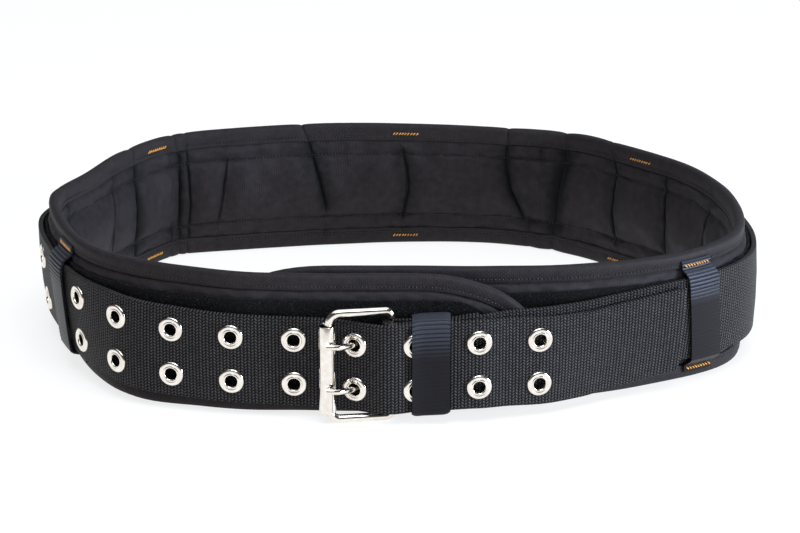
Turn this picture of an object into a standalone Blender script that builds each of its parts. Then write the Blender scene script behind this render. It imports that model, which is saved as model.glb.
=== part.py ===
# Padded work belt, buckled: a padded liner strip under two inch webbing with a roller buckle.
# Metres, +Z up. It stands on its lower edge, with the origin under the middle of its bounding box
# and the buckle on the -Y side. Round distances run along the waist curve, clockwise seen from
# above, from the front centre. Out is the way out of the belt.

import bisect
import math

import bmesh
import bpy
from mathutils import Matrix, Vector

MM = 0.001

# Padded liner
LINER_HEIGHT = 0.080
MID_HEIGHT = LINER_HEIGHT / 2
OUTER_TIP = -0.0747
INNER_TIP_PAST_FRONT = 0.106
TONGUE_LENGTH = 0.064
TONGUE_MID_INSET = 0.028
LAP_STEP = 0.012
LAP_FULL = 0.075
LAP_NONE = 0.155
LAP_PRESS = 0.35
CREASE_REACH = 0.010
STATION_STEP = 0.022

# Tape folded over the liner's edge, an upper and a lower length that butt at the tongue tips
BINDING_HALF = 0.0029
BINDING_THICK = 0.0010
BINDING_FOLD = 0.0011
BINDING_OUTER_WIDTH = 0.0085
BINDING_INNER_WIDTH = 0.0115
BINDING_BUTT = 0.00015

# Hook-and-loop strip on the outer face
STRIP_LOW = 0.0135
STRIP_HIGH = 0.0665
STRIP_INNER = 0.0051
STRIP_THICK = 0.0010
STRIP_END_INSET = 0.026
STRIP_ROUND = 0.011

# Webbing
WEB_WIDTH = 0.0508
WEB_THICK = 0.0028
WEB_CUP = 0.0009
FOLD_LENGTH = 0.042

# Grommets
GROMMET_PAIRS = 11
GROMMET_FIRST = 0.0870
GROMMET_PITCH = 0.0341
GROMMET_ROW = 0.0128
GROMMET_BORE = 0.0035
GROMMET_BARREL = 0.0041
GROMMET_FLANGE = 0.0070
GROMMET_SEAT = 0.00175
GROMMET_FACE = 0.0023
GROMMET_SIDES = 8
HOLE_RADIUS = 0.0046

# Roller buckle
BUCKLE_HEIGHT = 0.0331
BAR_ROUND = 0.0045
BAR_OUT = 0.02485
BAR_RADIUS = 0.0020
WIRE_RADIUS = 0.0023
ARM_HALF = 0.0306
ROLLER_CORNER = 0.0060
BAR_CORNER = 0.0030
ROLLER_ROUND = 0.0385
ROLLER_OUT = 0.0305
ROLLER_RADIUS = 0.0046
ROLLER_BORE = 0.0036
ROLLER_LENGTH = 0.0500
ROLLER_DROP = 0.0010
ROLLER_SLACK = 0.0009
PRONG_RISE = 0.0025
PRONG_RADIUS = 0.0017
PRONG_GAP = 0.00025
PRONG_PAIR = 4
SLOT_WIDTH = 0.0050
SLOT_REACH = 0.0065

# Ribbed tape loops and their bartacks
TAPE_THICK = 0.0013
TAPE_SEAT = 0.0040
TAPE_CLEAR = 0.0026
TAPE_CLEAR_GROMMET = 0.0036
GROMMETED_TO = 0.300
LOOP_WIDTH = 0.0190
LOOP_LOW = 0.0045
LOOP_HIGH = 0.0755
LOOP_EDGE_CLEAR = 0.0019
BARTACK_INSET = 0.0025
BARTACK_LENGTH = 0.0163
BARTACK_HEIGHT = 0.0024
BARTACK_THICK = 0.0007
KEEPER_FROM = 0.0070
KEEPER_TO = 0.0272
KEEPER_BACK = 0.0183
KEEPER_LOW = 0.0063
KEEPER_HIGH = 0.0590
KEEPER_TILT = 0.05
KEEPER_FRONT_CLEAR = 0.0027
KEEPER_CORNER = 0.0012
KEEPER_INNER_CORNER = 0.0003

# Waist curve seen from above, clockwise from the front centre: x, y and outward lean of the top edge, in mm
WAIST = (
    (0.0, -132.5, 0),
    (-55.0, -131.5, 2),
    (-105.0, -129.0, -1),
    (-142.0, -123.0, -4),
    (-169.0, -98.5, 5),
    (-187.5, -58.0, 8),
    (-199.5, -8.0, 4),
    (-187.0, 32.0, -3),
    (-169.0, 72.0, 1),
    (-142.0, 107.0, -1),
    (-96.5, 121.0, 2),
    (-45.0, 130.0, 2),
    (10.0, 132.0, -5),
    (62.5, 126.5, -9),
    (108.5, 110.0, 0),
    (140.0, 82.0, 1),
    (171.5, 45.5, 2),
    (189.0, 4.0, 1),
    (194.5, -42.0, -1),
    (184.0, -78.5, 4),
    (150.0, -106.5, 12),
    (100.0, -125.5, 8),
    (50.0, -132.3, 2),
)

# Vertical creases of the padding: round distance in mm and depth from 0 to 1
CREASES = (
    (286, 0.5),
    (341, 0.4),
    (368, 0.8),
    (411, 0.9),
    (497, 1.0),
    (556, 0.8),
    (624, 0.8),
    (656, 1.0),
    (700, 0.6),
    (744, 0.6),
    (788, 0.5),
)

# Half section of the pad from its edge to mid height: inset from the edge and half thickness, in mm
PAD_OUTER = ((1.6, 1.4), (9.2, 1.6), (13.0, 4.2))
PAD_OUTER_MID = 4.5
PAD_INNER = ((1.6, 1.4), (12.2, 1.6), (17.5, 3.9), (23.0, 2.7))
PAD_INNER_MID = 6.2

# Webbing from the buckle bar, round to the right and on to the tail's end: distance past the front
# centre (the tail's rows add a whole girth), out from the waist curve, and mid height, in mm
MAIN_BELT = (
    (-4.5, 28.5, 31.7),
    (14.0, 24.8, 32.3),
    (27.0, 24.5, 33.0),
    (40.0, 24.4, 35.2),
    (57.0, 19.6, 35.7),
    (76.0, 17.2, 35.9),
    (96.0, 12.4, 36.3),
    (117.0, 9.6, 38.2),
    (145.0, 8.9, 40.6),
    (175.0, 9.3, 41.4),
    (210.0, 9.8, 41.2),
    (300.0, 9.0, 40.0),
    (540.0, 8.9, 40.0),
    (700.0, 9.1, 40.0),
    (815.0, 10.0, 40.0),
    (880.0, 9.4, 39.0),
)
TAIL = (
    (-160.0, 9.8, 37.2),
    (-130.0, 13.5, 34.8),
    (-100.0, 19.5, 33.6),
    (-76.0, 21.4, 33.0),
    (-55.0, 21.3, 32.5),
    (-39.0, 21.6, 32.2),
    (-24.0, 25.8, 31.7),
    (-4.5, 32.6, 32.2),
    (14.0, 29.1, 33.0),
    (24.0, 28.9, 33.3),
    (40.0, 28.6, 34.2),
    (57.0, 24.2, 33.4),
    (77.0, 21.7, 32.3),
    (97.0, 16.9, 31.9),
    (117.0, 13.6, 33.9),
    (138.0, 12.9, 36.3),
    (153.0, 14.6, 38.3),
)

# Belt loops: name, round distance of the middle, and how much farther round its top is than its foot, in mm
LOOPS = (
    ("front_left", 205, 0),
    ("back_left", 388.8, 6),
    ("back_centre", 555.5, 0),
    ("back_right", 711, 18),
    ("front_right", 913.5, 13),
)

# Finishes: colour, metallic, roughness
FINISHES = {
    "liner_fabric": ((0.012, 0.012, 0.014), 0.0, 0.85),
    "binding_tape": ((0.016, 0.016, 0.018), 0.0, 0.80),
    "hook_fabric": ((0.006, 0.006, 0.006), 0.0, 0.95),
    "webbing": ((0.014, 0.014, 0.015), 0.0, 0.80),
    "ribbed_tape": ((0.022, 0.023, 0.027), 0.0, 0.70),
    "orange_thread": ((0.75, 0.20, 0.03), 0.0, 0.65),
    "nickel": ((0.72, 0.69, 0.64), 1.0, 0.22),
}


def clear_scene():
    for thing in list(bpy.data.objects):
        bpy.data.objects.remove(thing, do_unlink=True)


clear_scene()
BODIES = bpy.data.collections.new("padded_work_belt")
bpy.context.scene.collection.children.link(BODIES)
CUTTERS = bpy.data.collections.new("cutters")
bpy.context.scene.collection.children.link(CUTTERS)


def make_material(name):
    colour, metallic, roughness = FINISHES[name]
    material = bpy.data.materials.new(name)
    material.use_nodes = True
    shader = material.node_tree.nodes["Principled BSDF"]
    shader.inputs["Base Color"].default_value = (*colour, 1.0)
    shader.inputs["Metallic"].default_value = metallic
    shader.inputs["Roughness"].default_value = roughness
    return material


MATERIALS = {name: make_material(name) for name in FINISHES}


# The waist curve

def waist_samples(steps_a_row=24):
    """Closed Catmull-Rom curve through the rows, as (point, lean) samples."""
    rows = [Vector((x * MM, y * MM, lean * MM)) for x, y, lean in WAIST]
    count = len(rows)
    samples = []
    for i in range(count):
        a, b, c, d = rows[i - 1], rows[i], rows[(i + 1) % count], rows[(i + 2) % count]
        for step in range(steps_a_row):
            u = step / steps_a_row
            square, cube = 2 * a - 5 * b + 4 * c - d, 3 * b - a - 3 * c + d
            samples.append(0.5 * (2 * b + (c - a) * u + square * u * u + cube * u ** 3))
    samples.append(samples[0].copy())
    return samples


SAMPLES = waist_samples()
ROUND = [0.0]
for before, after in zip(SAMPLES, SAMPLES[1:]):
    ROUND.append(ROUND[-1] + (after.xy - before.xy).length)
GIRTH = ROUND[-1]
INNER_TIP = GIRTH + INNER_TIP_PAST_FRONT


def waist_row(distance):
    distance %= GIRTH
    i = min(bisect.bisect_right(ROUND, distance), len(ROUND) - 1)
    share = (distance - ROUND[i - 1]) / (ROUND[i] - ROUND[i - 1])
    return SAMPLES[i - 1].lerp(SAMPLES[i], share)


def waist_frame(distance, reach=0.004):
    """Plan point, way along the curve, way out, and lean at a round distance."""
    here = waist_row(distance)
    along = (waist_row(distance + reach).xy - waist_row(distance - reach).xy).normalized()
    return here.xy, along, Vector((-along.y, along.x)), here.z


def place(distance, height, out):
    point, _, outward, lean = waist_frame(distance)
    plan = point + outward * (out + lean * (height / LINER_HEIGHT - 0.5))
    return Vector((plan.x, plan.y, height))


def smooth_step(x):
    x = min(max(x, 0.0), 1.0)
    return x * x * (3 - 2 * x)


def lap(distance):
    """How far the liner's outer end stands out to clear the inner end."""
    return LAP_STEP * smooth_step((LAP_NONE - distance) / (LAP_NONE - LAP_FULL))


def monotone(rows):
    """Function through (x, value) rows that never overshoots them."""
    xs = [row[0] for row in rows]
    ys = [row[1] for row in rows]
    slopes = [(ys[i + 1] - ys[i]) / (xs[i + 1] - xs[i]) for i in range(len(xs) - 1)]
    tangents = [slopes[0]]
    for a, b in zip(slopes, slopes[1:]):
        tangents.append(0.0 if a * b <= 0 else 2 * a * b / (a + b))
    tangents.append(slopes[-1])

    def value(x):
        i = min(max(bisect.bisect_right(xs, x) - 1, 0), len(xs) - 2)
        width = xs[i + 1] - xs[i]
        u = min(max((x - xs[i]) / width, 0.0), 1.0)
        keep = (1 + 2 * u) * (1 - u) ** 2 * ys[i] + u * u * (3 - 2 * u) * ys[i + 1]
        return keep + width * (u * (1 - u) ** 2 * tangents[i] - u * u * (1 - u) * tangents[i + 1])

    return value


def crease(distance):
    return max(depth * max(0.0, 1 - abs(distance - at * MM) / CREASE_REACH) for at, depth in CREASES)


def liner_stations(first, last):
    """Round distances from first to last: the creases, and even steps between."""
    marks = [first] + [at * MM for at, _ in CREASES if first < at * MM < last] + [last]
    stations = []
    for a, b in zip(marks, marks[1:]):
        count = max(1, math.ceil((b - a) / STATION_STEP - 0.01))
        stations.extend(a + (b - a) * i / count for i in range(count))
    stations.append(last)
    return stations


# Mesh helpers

def new_object(name, bm, material, collection=BODIES):
    bmesh.ops.recalc_face_normals(bm, faces=bm.faces[:])
    mesh = bpy.data.meshes.new(name)
    bm.to_mesh(mesh)
    bm.free()
    thing = bpy.data.objects.new(name, mesh)
    collection.objects.link(thing)
    if material:
        mesh.materials.append(MATERIALS[material])
    return thing


def skin(bm, rings, closed):
    """Quads between rings of vertices; closed joins the last ring to the first."""
    pairs = list(zip(rings, rings[1:])) + ([(rings[-1], rings[0])] if closed else [])
    for a, b in pairs:
        for i in range(len(a)):
            j = (i + 1) % len(a)
            corners = [a[i], a[j], b[j], b[i]]
            bm.faces.new(corners)


def loft(name, sections, material, closed=False):
    """Solid through sections, each a closed outline; the ends are capped unless it is closed."""
    bm = bmesh.new()
    rings = [[bm.verts.new(p) for p in section] for section in sections]
    skin(bm, rings, closed)
    if not closed:
        bm.faces.new(rings[0])
        bm.faces.new(rings[-1])
    return new_object(name, bm, material)


def apply_modifiers(thing):
    bpy.context.view_layer.update()
    evaluated = thing.evaluated_get(bpy.context.evaluated_depsgraph_get())
    mesh = bpy.data.meshes.new_from_object(evaluated)
    thing.modifiers.clear()
    thing.data = mesh


def shade_round(thing, angle=math.radians(35)):
    for face in thing.data.polygons:
        face.use_smooth = True
    thing.data.set_sharp_from_angle(angle=angle)


# Outline of the liner in its own plane: round distance, height, and the way in from the edge

def tongue_row(angle, tip, way):
    """Point on a tongue's ellipse; way is +1 when the strip runs on from the tip, -1 when it comes to it."""
    run = TONGUE_LENGTH * (1 - math.cos(angle))
    edge = (tip + way * run, MID_HEIGHT + MID_HEIGHT * math.sin(angle))
    inward = Vector((way * MID_HEIGHT * math.cos(angle), -TONGUE_LENGTH * math.sin(angle))).normalized()
    mid_run = TONGUE_MID_INSET + (TONGUE_LENGTH - TONGUE_MID_INSET) * (1 - math.cos(angle))
    return edge, inward, tip + way * mid_run


def outline_rows():
    angles = [math.radians(a) for a in (0, 9, 19, 31, 45, 60, 76)]
    rows = [tongue_row(a, OUTER_TIP, 1) for a in angles]
    for distance in liner_stations(OUTER_TIP + TONGUE_LENGTH, INNER_TIP - TONGUE_LENGTH):
        rows.append(((distance, LINER_HEIGHT), Vector((0, -1)), distance))
    rows.extend(tongue_row(a, INNER_TIP, -1) for a in reversed(angles))
    return rows


OUTLINE = outline_rows()


def edge_point(row, inset, out, upper=True):
    (distance, height), inward, _ = row
    distance += inward.x * inset
    height += inward.y * inset
    if not upper:
        height = LINER_HEIGHT - height
    return place(distance, height, out + lap(distance))


def puffed(half, distance):
    """Half thickness of the inner face, drawn in at a crease and pressed where the ends lap."""
    flat = PAD_INNER[0][1]
    pressed = LAP_PRESS * smooth_step((LAP_NONE + 0.015 - distance) / 0.040)
    return flat + (half - flat) * (1 - 0.55 * crease(distance)) * (1 - pressed)


def build_pad():
    sections = []
    for row in OUTLINE:
        mid = row[2]
        outer = [(inset * MM, half * MM) for inset, half in PAD_OUTER]
        inner = [(inset * MM, -puffed(half, mid) * MM) for inset, half in PAD_INNER]
        ring = [edge_point(row, inset, out, True) for inset, out in outer]
        ring.append(place(mid, MID_HEIGHT, PAD_OUTER_MID * MM + lap(mid)))
        ring.extend(edge_point(row, inset, out, False) for inset, out in reversed(outer))
        ring.extend(edge_point(row, inset, out, False) for inset, out in inner)
        ring.append(place(mid, MID_HEIGHT, lap(mid) - puffed(PAD_INNER_MID, mid) * MM))
        ring.extend(edge_point(row, inset, out, True) for inset, out in reversed(inner))
        sections.append(ring)
    bm = bmesh.new()
    rings = [[bm.verts.new(p) for p in section] for section in sections]
    skin(bm, rings, False)
    bmesh.ops.remove_doubles(bm, verts=bm.verts[:], dist=0.00001)
    pad = new_object("liner_pad", bm, "liner_fabric")
    shade_round(pad)


def butt_row(tip, following):
    """The tip's outline row, moved a little up the edge so that the two lengths don't touch."""
    (distance, height), inward, mid = tip
    share = BINDING_BUTT / (following[0][1] - height)
    distance += (following[0][0] - distance) * share * share
    return (distance, height + BINDING_BUTT), inward, mid


def build_binding():
    half, thick, fold = BINDING_HALF, BINDING_THICK, BINDING_FOLD
    profile = (
        (BINDING_OUTER_WIDTH, half),
        (0.0, half),
        (0.0, -half),
        (BINDING_INNER_WIDTH, -half),
        (BINDING_INNER_WIDTH, thick - half),
        (fold, thick - half),
        (fold, half - thick),
        (BINDING_OUTER_WIDTH, half - thick),
    )
    butts = [butt_row(OUTLINE[0], OUTLINE[1])], [butt_row(OUTLINE[-1], OUTLINE[-2])]
    rows = butts[0] + OUTLINE[1:-1] + butts[1]
    for side, upper in (("upper", True), ("lower", False)):
        sections = [[edge_point(row, inset, out, upper) for inset, out in profile] for row in rows]
        shade_round(loft(f"edge_binding_{side}", sections, "binding_tape"))


def build_strip():
    sections = []
    first, last = OUTER_TIP + STRIP_END_INSET, INNER_TIP - STRIP_END_INSET
    rounded = (0.0, 0.003, 0.009)
    body = [row[2] for row in OUTLINE if first + 0.020 < row[0][0] < last - 0.020]
    stations = [first + r for r in rounded] + body
    stations += [last - r for r in reversed(rounded)]
    for distance in stations:
        near = STRIP_INNER + lap(distance)
        far = near + STRIP_THICK
        from_end = min(distance - first, last - distance, 0.020)
        inset = STRIP_ROUND * (1 - from_end / 0.020) ** 2
        low, high = STRIP_LOW + inset, STRIP_HIGH - inset
        corners = ((low, near), (low, far), (MID_HEIGHT, far), (high, far), (high, near), (MID_HEIGHT, near))
        sections.append([place(distance, height, out) for height, out in corners])
    shade_round(loft("hook_strip", sections, "hook_fabric"))


# The webbing's path in plan: fold, bar, main belt and tail

TAIL_START = GIRTH + TAIL[0][0] * MM
MAIN_ROWS = [(x * MM, out * MM, mid * MM) for x, out, mid in MAIN_BELT]
MAIN_ROWS.append((TAIL_START, TAIL[0][1] * MM, TAIL[0][2] * MM))
TAIL_ROWS = [(x * MM, out * MM, mid * MM) for x, out, mid in TAIL]
MAIN_OUT = monotone([(x, out) for x, out, _ in MAIN_ROWS])
MAIN_MID = monotone([(x, mid) for x, _, mid in MAIN_ROWS])
TAIL_OUT = monotone([(x, out) for x, out, _ in TAIL_ROWS])
TAIL_MID = monotone([(x, mid) for x, _, mid in TAIL_ROWS])
TAIL_END = GIRTH + TAIL[-1][0] * MM


def web_out(past):
    return MAIN_OUT(past) if past < TAIL_START else TAIL_OUT(past - GIRTH)


def web_mid(past):
    return MAIN_MID(past) if past < TAIL_START else TAIL_MID(past - GIRTH)


def plan_at(past, out):
    point, _, outward, _ = waist_frame(-past)
    return point + outward * out


def even(first, last, step):
    count = max(1, round((last - first) / step))
    return [first + (last - first) * i / count for i in range(count)]


def webbing_path():
    """Plan point, mid height and lean of each station from the folded end to the tail's end."""
    fold_out = BAR_OUT - (BAR_RADIUS + PRONG_GAP + WEB_THICK / 2)
    rows = []
    for past in (FOLD_LENGTH, FOLD_LENGTH * 0.66, FOLD_LENGTH * 0.33, 0.0):
        rows.append((plan_at(past, fold_out), MAIN_MID(past), past))
    bar, along, outward, _ = waist_frame(BAR_ROUND)
    centre = bar + outward * BAR_OUT
    radius = BAR_OUT - fold_out
    for degrees in (0, 26, 52, 78, 104, 130, 156, 180):
        turn = math.radians(degrees)
        point = centre + along * radius * math.sin(turn) - outward * radius * math.cos(turn)
        rows.append((point, MAIN_MID(-BAR_ROUND), -BAR_ROUND))
    pasts = even(0.002, 0.025, 0.005) + even(0.025, 0.100, 0.009)
    body = [GIRTH - s for s in reversed(liner_stations(0.160, GIRTH - 0.100))]
    pasts += body[:-1] + even(TAIL_START, GIRTH - 0.042, 0.012) + even(GIRTH - 0.042, GIRTH + 0.020, 0.0055)
    pasts += even(GIRTH + 0.020, TAIL_END, 0.0065) + [TAIL_END]
    rows.extend((plan_at(past, web_out(past)), web_mid(past), past) for past in pasts)
    return rows


WEB_ROWS = webbing_path()
WEB_RUN = [0.0]
for before, after in zip(WEB_ROWS, WEB_ROWS[1:]):
    WEB_RUN.append(WEB_RUN[-1] + (after[0] - before[0]).length)
WEB_LENGTH = WEB_RUN[-1]


def web_normals():
    points = [row[0] for row in WEB_ROWS]
    normals = []
    for i, here in enumerate(points):
        before = (here - points[max(i - 1, 0)]).normalized()
        after = (points[min(i + 1, len(points) - 1)] - here).normalized()
        way = (before + after).normalized()
        normals.append(Vector((way.y, -way.x)))
    return normals


WEB_NORMALS = web_normals()


def web_place(run, across, out):
    """Point on the webbing: run from the folded end, across from its middle, out from its mid surface."""
    i = min(max(bisect.bisect_right(WEB_RUN, run), 1), len(WEB_RUN) - 1)
    share = min(max((run - WEB_RUN[i - 1]) / (WEB_RUN[i] - WEB_RUN[i - 1]), 0.0), 1.0)
    plan = WEB_ROWS[i - 1][0].lerp(WEB_ROWS[i][0], share)
    normal = WEB_NORMALS[i - 1].lerp(WEB_NORMALS[i], share)
    mid = WEB_ROWS[i - 1][1] + (WEB_ROWS[i][1] - WEB_ROWS[i - 1][1]) * share
    past = WEB_ROWS[i - 1][2] + (WEB_ROWS[i][2] - WEB_ROWS[i - 1][2]) * share
    from_buckle = min(abs(past), abs(past - GIRTH))
    lean = waist_frame(-past)[3] * smooth_step((from_buckle - 0.05) / 0.06)
    lean *= (mid + across - MID_HEIGHT) / LINER_HEIGHT
    off_mid = max(abs(across) - WEB_WIDTH / 6, 0.0) / (WEB_WIDTH / 3)
    cup = WEB_CUP * smooth_step((from_buckle - 0.04) / 0.05) * off_mid
    plan = plan + normal * (out - cup + lean)
    return Vector((plan.x, plan.y, mid + across))


def grommet_places():
    """Runs and rows of the grommets, counted from the tail's end."""
    places = []
    for pair in range(GROMMET_PAIRS):
        run = WEB_LENGTH - GROMMET_FIRST - GROMMET_PITCH * pair
        places.append((pair + 1, run, "upper", GROMMET_ROW))
        places.append((pair + 1, run, "lower", -GROMMET_ROW))
    return places


def add_box(bm, low, high):
    made = bmesh.ops.create_cube(bm, size=1.0)
    size = Vector(high) - Vector(low)
    middle = (Vector(high) + Vector(low)) / 2
    matrix = Matrix.Translation(middle) @ Matrix.Diagonal((*size, 1))
    bmesh.ops.transform(bm, matrix=matrix, verts=made["verts"])


def build_webbing():
    bm = bmesh.new()
    across = [WEB_WIDTH * (k / 3 - 0.5) for k in range(4)]
    half = WEB_THICK / 2
    sections = []
    for run in WEB_RUN:
        loop = [(run, v, -half) for v in across] + [(run, v, half) for v in reversed(across)]
        sections.append([bm.verts.new(p) for p in loop])
    skin(bm, sections, False)
    bm.faces.new(sections[0])
    bm.faces.new(sections[-1])
    belt = new_object("belt_webbing", bm, "webbing")

    bm = bmesh.new()
    for _, run, _, row in grommet_places():
        spot = Matrix.Translation((run, row, 0))
        bmesh.ops.create_cone(
            bm, cap_ends=True, segments=GROMMET_SIDES, radius1=HOLE_RADIUS, radius2=HOLE_RADIUS,
            depth=WEB_THICK * 3, matrix=spot)
    slot_from, slot_to = WEB_RUN[4] - SLOT_REACH, WEB_RUN[11] + SLOT_REACH
    for row in (-GROMMET_ROW, GROMMET_ROW):
        add_box(bm, (slot_from, row - SLOT_WIDTH / 2, -0.01), (slot_to, row + SLOT_WIDTH / 2, 0.01))
    cutter = new_object("webbing_holes", bm, None, CUTTERS)
    cutter.hide_render = True
    cutter.display_type = "WIRE"
    cut = belt.modifiers.new("holes", "BOOLEAN")
    cut.operation = "DIFFERENCE"
    cut.solver = "EXACT"
    cut.object = cutter
    apply_modifiers(belt)

    bm = bmesh.new()
    bm.from_mesh(belt.data)
    bmesh.ops.triangulate(bm, faces=bm.faces[:])
    for vert in bm.verts:
        vert.co = web_place(*vert.co)
    bmesh.ops.recalc_face_normals(bm, faces=bm.faces[:])
    bm.to_mesh(belt.data)
    bm.free()
    shade_round(belt)


def build_grommets():
    profile = (
        (GROMMET_BORE, -GROMMET_FACE),
        (GROMMET_FLANGE - 0.0006, -GROMMET_FACE),
        (GROMMET_FLANGE, -GROMMET_SEAT),
        (GROMMET_BARREL, -GROMMET_SEAT),
        (GROMMET_BARREL, GROMMET_SEAT),
        (GROMMET_FLANGE, GROMMET_SEAT),
        (GROMMET_FLANGE - 0.0006, GROMMET_FACE),
        (GROMMET_BORE, GROMMET_FACE),
    )
    for pair, run, side, row in grommet_places():
        sections = []
        for k in range(GROMMET_SIDES):
            turn = 2 * math.pi * k / GROMMET_SIDES
            sections.append([
                web_place(run + r * math.cos(turn), row + r * math.sin(turn), out) for r, out in profile])
        shade_round(loft(f"grommet_{pair:02d}_{side}", sections, "nickel", closed=True))


# Buckle: local axes are past the front centre, out, and up from its middle

BAR_POINT, BAR_ALONG, BAR_OUTWARD, _ = waist_frame(BAR_ROUND)
ROLLER_POINT, _, ROLLER_OUTWARD, _ = waist_frame(ROLLER_ROUND)
BAR_CENTRE = BAR_POINT + BAR_OUTWARD * BAR_OUT
ROLLER_CENTRE = ROLLER_POINT + ROLLER_OUTWARD * ROLLER_OUT
BUCKLE_WAY = (BAR_CENTRE - ROLLER_CENTRE).normalized()
BUCKLE_LENGTH = (BAR_CENTRE - ROLLER_CENTRE).length


def buckle_place(from_roller, height):
    plan = ROLLER_CENTRE + BUCKLE_WAY * from_roller
    return Vector((plan.x, plan.y, BUCKLE_HEIGHT + height))


def wire(name, points, cyclic, radius, sides=2):
    """Round wire through (point, share of radius) rows, made a mesh."""
    curve = bpy.data.curves.new(name, "CURVE")
    curve.dimensions = "3D"
    curve.bevel_depth = radius
    curve.bevel_resolution = sides
    curve.use_fill_caps = True
    spline = curve.splines.new("POLY")
    spline.points.add(len(points) - 1)
    spline.use_cyclic_u = cyclic
    for knot, (point, share) in zip(spline.points, points):
        knot.co = (*point, 1.0)
        knot.radius = share
    holder = bpy.data.objects.new(name, curve)
    BODIES.objects.link(holder)
    bpy.context.view_layer.update()
    mesh = bpy.data.meshes.new_from_object(holder.evaluated_get(bpy.context.evaluated_depsgraph_get()))
    bpy.data.objects.remove(holder)
    bm = bmesh.new()
    bm.from_mesh(mesh)
    bmesh.ops.remove_doubles(bm, verts=bm.verts[:], dist=0.000001)
    thing = new_object(name, bm, "nickel")
    shade_round(thing, math.radians(50))
    return thing


def build_frame():
    """Bent wire: the roller's bar, two bowed arms, and the slimmer bar that the webbing folds round."""
    turns = [math.radians(a) for a in (0, 22.5, 45, 67.5, 90)]
    slim = BAR_RADIUS / WIRE_RADIUS
    wide, tight = ROLLER_CORNER, BAR_CORNER
    quarter = [
        (ROLLER_SLACK + wide - wide * math.cos(t), ARM_HALF - wide + wide * math.sin(t), 1.0) for t in turns]
    for i, t in enumerate(turns):
        along, height = BUCKLE_LENGTH - tight + tight * math.sin(t), ARM_HALF - tight + tight * math.cos(t)
        quarter.append((along, height, 1.0 + (slim - 1.0) * i / 4))
    rows = quarter + [(x, -z, share) for x, z, share in reversed(quarter)]
    wire("buckle_frame", [(buckle_place(x, z), share) for x, z, share in rows], True, WIRE_RADIUS)


def build_roller():
    """Tube on the frame's end bar."""
    bm = bmesh.new()
    corners = (
        (ROLLER_BORE, -ROLLER_LENGTH / 2),
        (ROLLER_RADIUS, -ROLLER_LENGTH / 2),
        (ROLLER_RADIUS, ROLLER_LENGTH / 2),
        (ROLLER_BORE, ROLLER_LENGTH / 2),
    )
    verts = [bm.verts.new((x, 0, z)) for x, z in corners]
    for a, b in zip(verts, verts[1:] + verts[:1]):
        bm.edges.new((a, b))
    roller = new_object("buckle_roller", bm, "nickel")
    screw = roller.modifiers.new("turn", "SCREW")
    screw.steps = 20
    screw.render_steps = 20
    screw.use_merge_vertices = True
    screw.merge_threshold = 0.0001
    apply_modifiers(roller)
    roller.data.materials.clear()
    roller.data.materials.append(MATERIALS["nickel"])
    roller.data.transform(Matrix.Translation(buckle_place(0, -ROLLER_DROP)))
    bm = bmesh.new()
    bm.from_mesh(roller.data)
    bmesh.ops.recalc_face_normals(bm, faces=bm.faces[:])
    bm.to_mesh(roller.data)
    bm.free()
    shade_round(roller)


def build_prongs():
    """Hooked round the bar, up through a grommet, and laid on the roller a little higher."""
    run = WEB_LENGTH - GROMMET_FIRST - GROMMET_PITCH * (PRONG_PAIR - 1)
    hook = BAR_RADIUS + PRONG_GAP + PRONG_RADIUS
    rest = ROLLER_RADIUS + PRONG_GAP + PRONG_RADIUS
    for side, row in (("upper", GROMMET_ROW), ("lower", -GROMMET_ROW)):
        height = web_place(run, row, 0).z
        hole = web_place(run, row, 0).xy
        through = (web_place(run, row, 0.001).xy - hole).normalized()
        plan = []
        for degrees in (-150, -115, -80, -45, -10, 25, 60):
            turn = math.radians(degrees)
            plan.append(BAR_CENTRE + BAR_ALONG * hook * math.sin(turn) + BAR_OUTWARD * hook * math.cos(turn))
        low = hole - through * 0.0042
        plan.append(low + BAR_ALONG * -0.0030 + through * 0.0006)
        plan.append(low + through * 0.0014)
        plan.append(hole - through * 0.0010)
        plan.append(hole + through * 0.0024)
        plan.append(ROLLER_CENTRE + ROLLER_OUTWARD * (rest - 0.0016) - BAR_ALONG * 0.0075)
        plan.append(ROLLER_CENTRE + ROLLER_OUTWARD * rest - BAR_ALONG * 0.0030)
        plan.append(ROLLER_CENTRE + ROLLER_OUTWARD * rest + BAR_ALONG * 0.0002)
        rises = [0.0] * (len(plan) - 4) + [0.15, 0.7, 0.95, 1.0]
        rows = [(Vector((p.x, p.y, height + PRONG_RISE * rise)), 1.0) for p, rise in zip(plan, rises)]
        wire(f"prong_{side}", rows, False, PRONG_RADIUS, 1)


def build_keeper():
    """Tape ring round the folded webbing and the tail."""
    outer, inner = [], []
    for past in even(KEEPER_FROM, KEEPER_TO, 0.005) + [KEEPER_TO]:
        front = TAIL_OUT(past) + KEEPER_FRONT_CLEAR
        rise = (past - (KEEPER_FROM + KEEPER_TO) / 2) * KEEPER_TILT
        loops = []
        for grow, cut in ((TAPE_THICK, KEEPER_CORNER), (0.0, KEEPER_INNER_CORNER)):
            back, face = KEEPER_BACK + TAPE_THICK - grow, front + grow
            low, high = KEEPER_LOW + rise - grow, KEEPER_HIGH + rise + grow
            corners = (
                (back, low + cut), (back + cut, low), (face - cut, low), (face, low + cut),
                (face, high - cut), (face - cut, high), (back + cut, high), (back, high - cut),
            )
            loops.append([plan_at(past, out).to_3d() + Vector((0, 0, height)) for out, height in corners])
        outer.append(loops[0])
        inner.append(loops[1])
    bm = bmesh.new()
    outside = [[bm.verts.new(p) for p in ring] for ring in outer]
    inside = [[bm.verts.new(p) for p in ring] for ring in inner]
    skin(bm, outside, False)
    skin(bm, inside, False)
    skin(bm, [outside[0], inside[0]], False)
    skin(bm, [outside[-1], inside[-1]], False)
    shade_round(new_object("keeper_loop", bm, "ribbed_tape"))


def loop_place(middle, slant, share, height, out):
    """Point on a loop: share is across it from its middle, and slant moves it round with height."""
    return place(middle + share + slant * (height / LINER_HEIGHT - 0.5), height, out)


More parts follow.
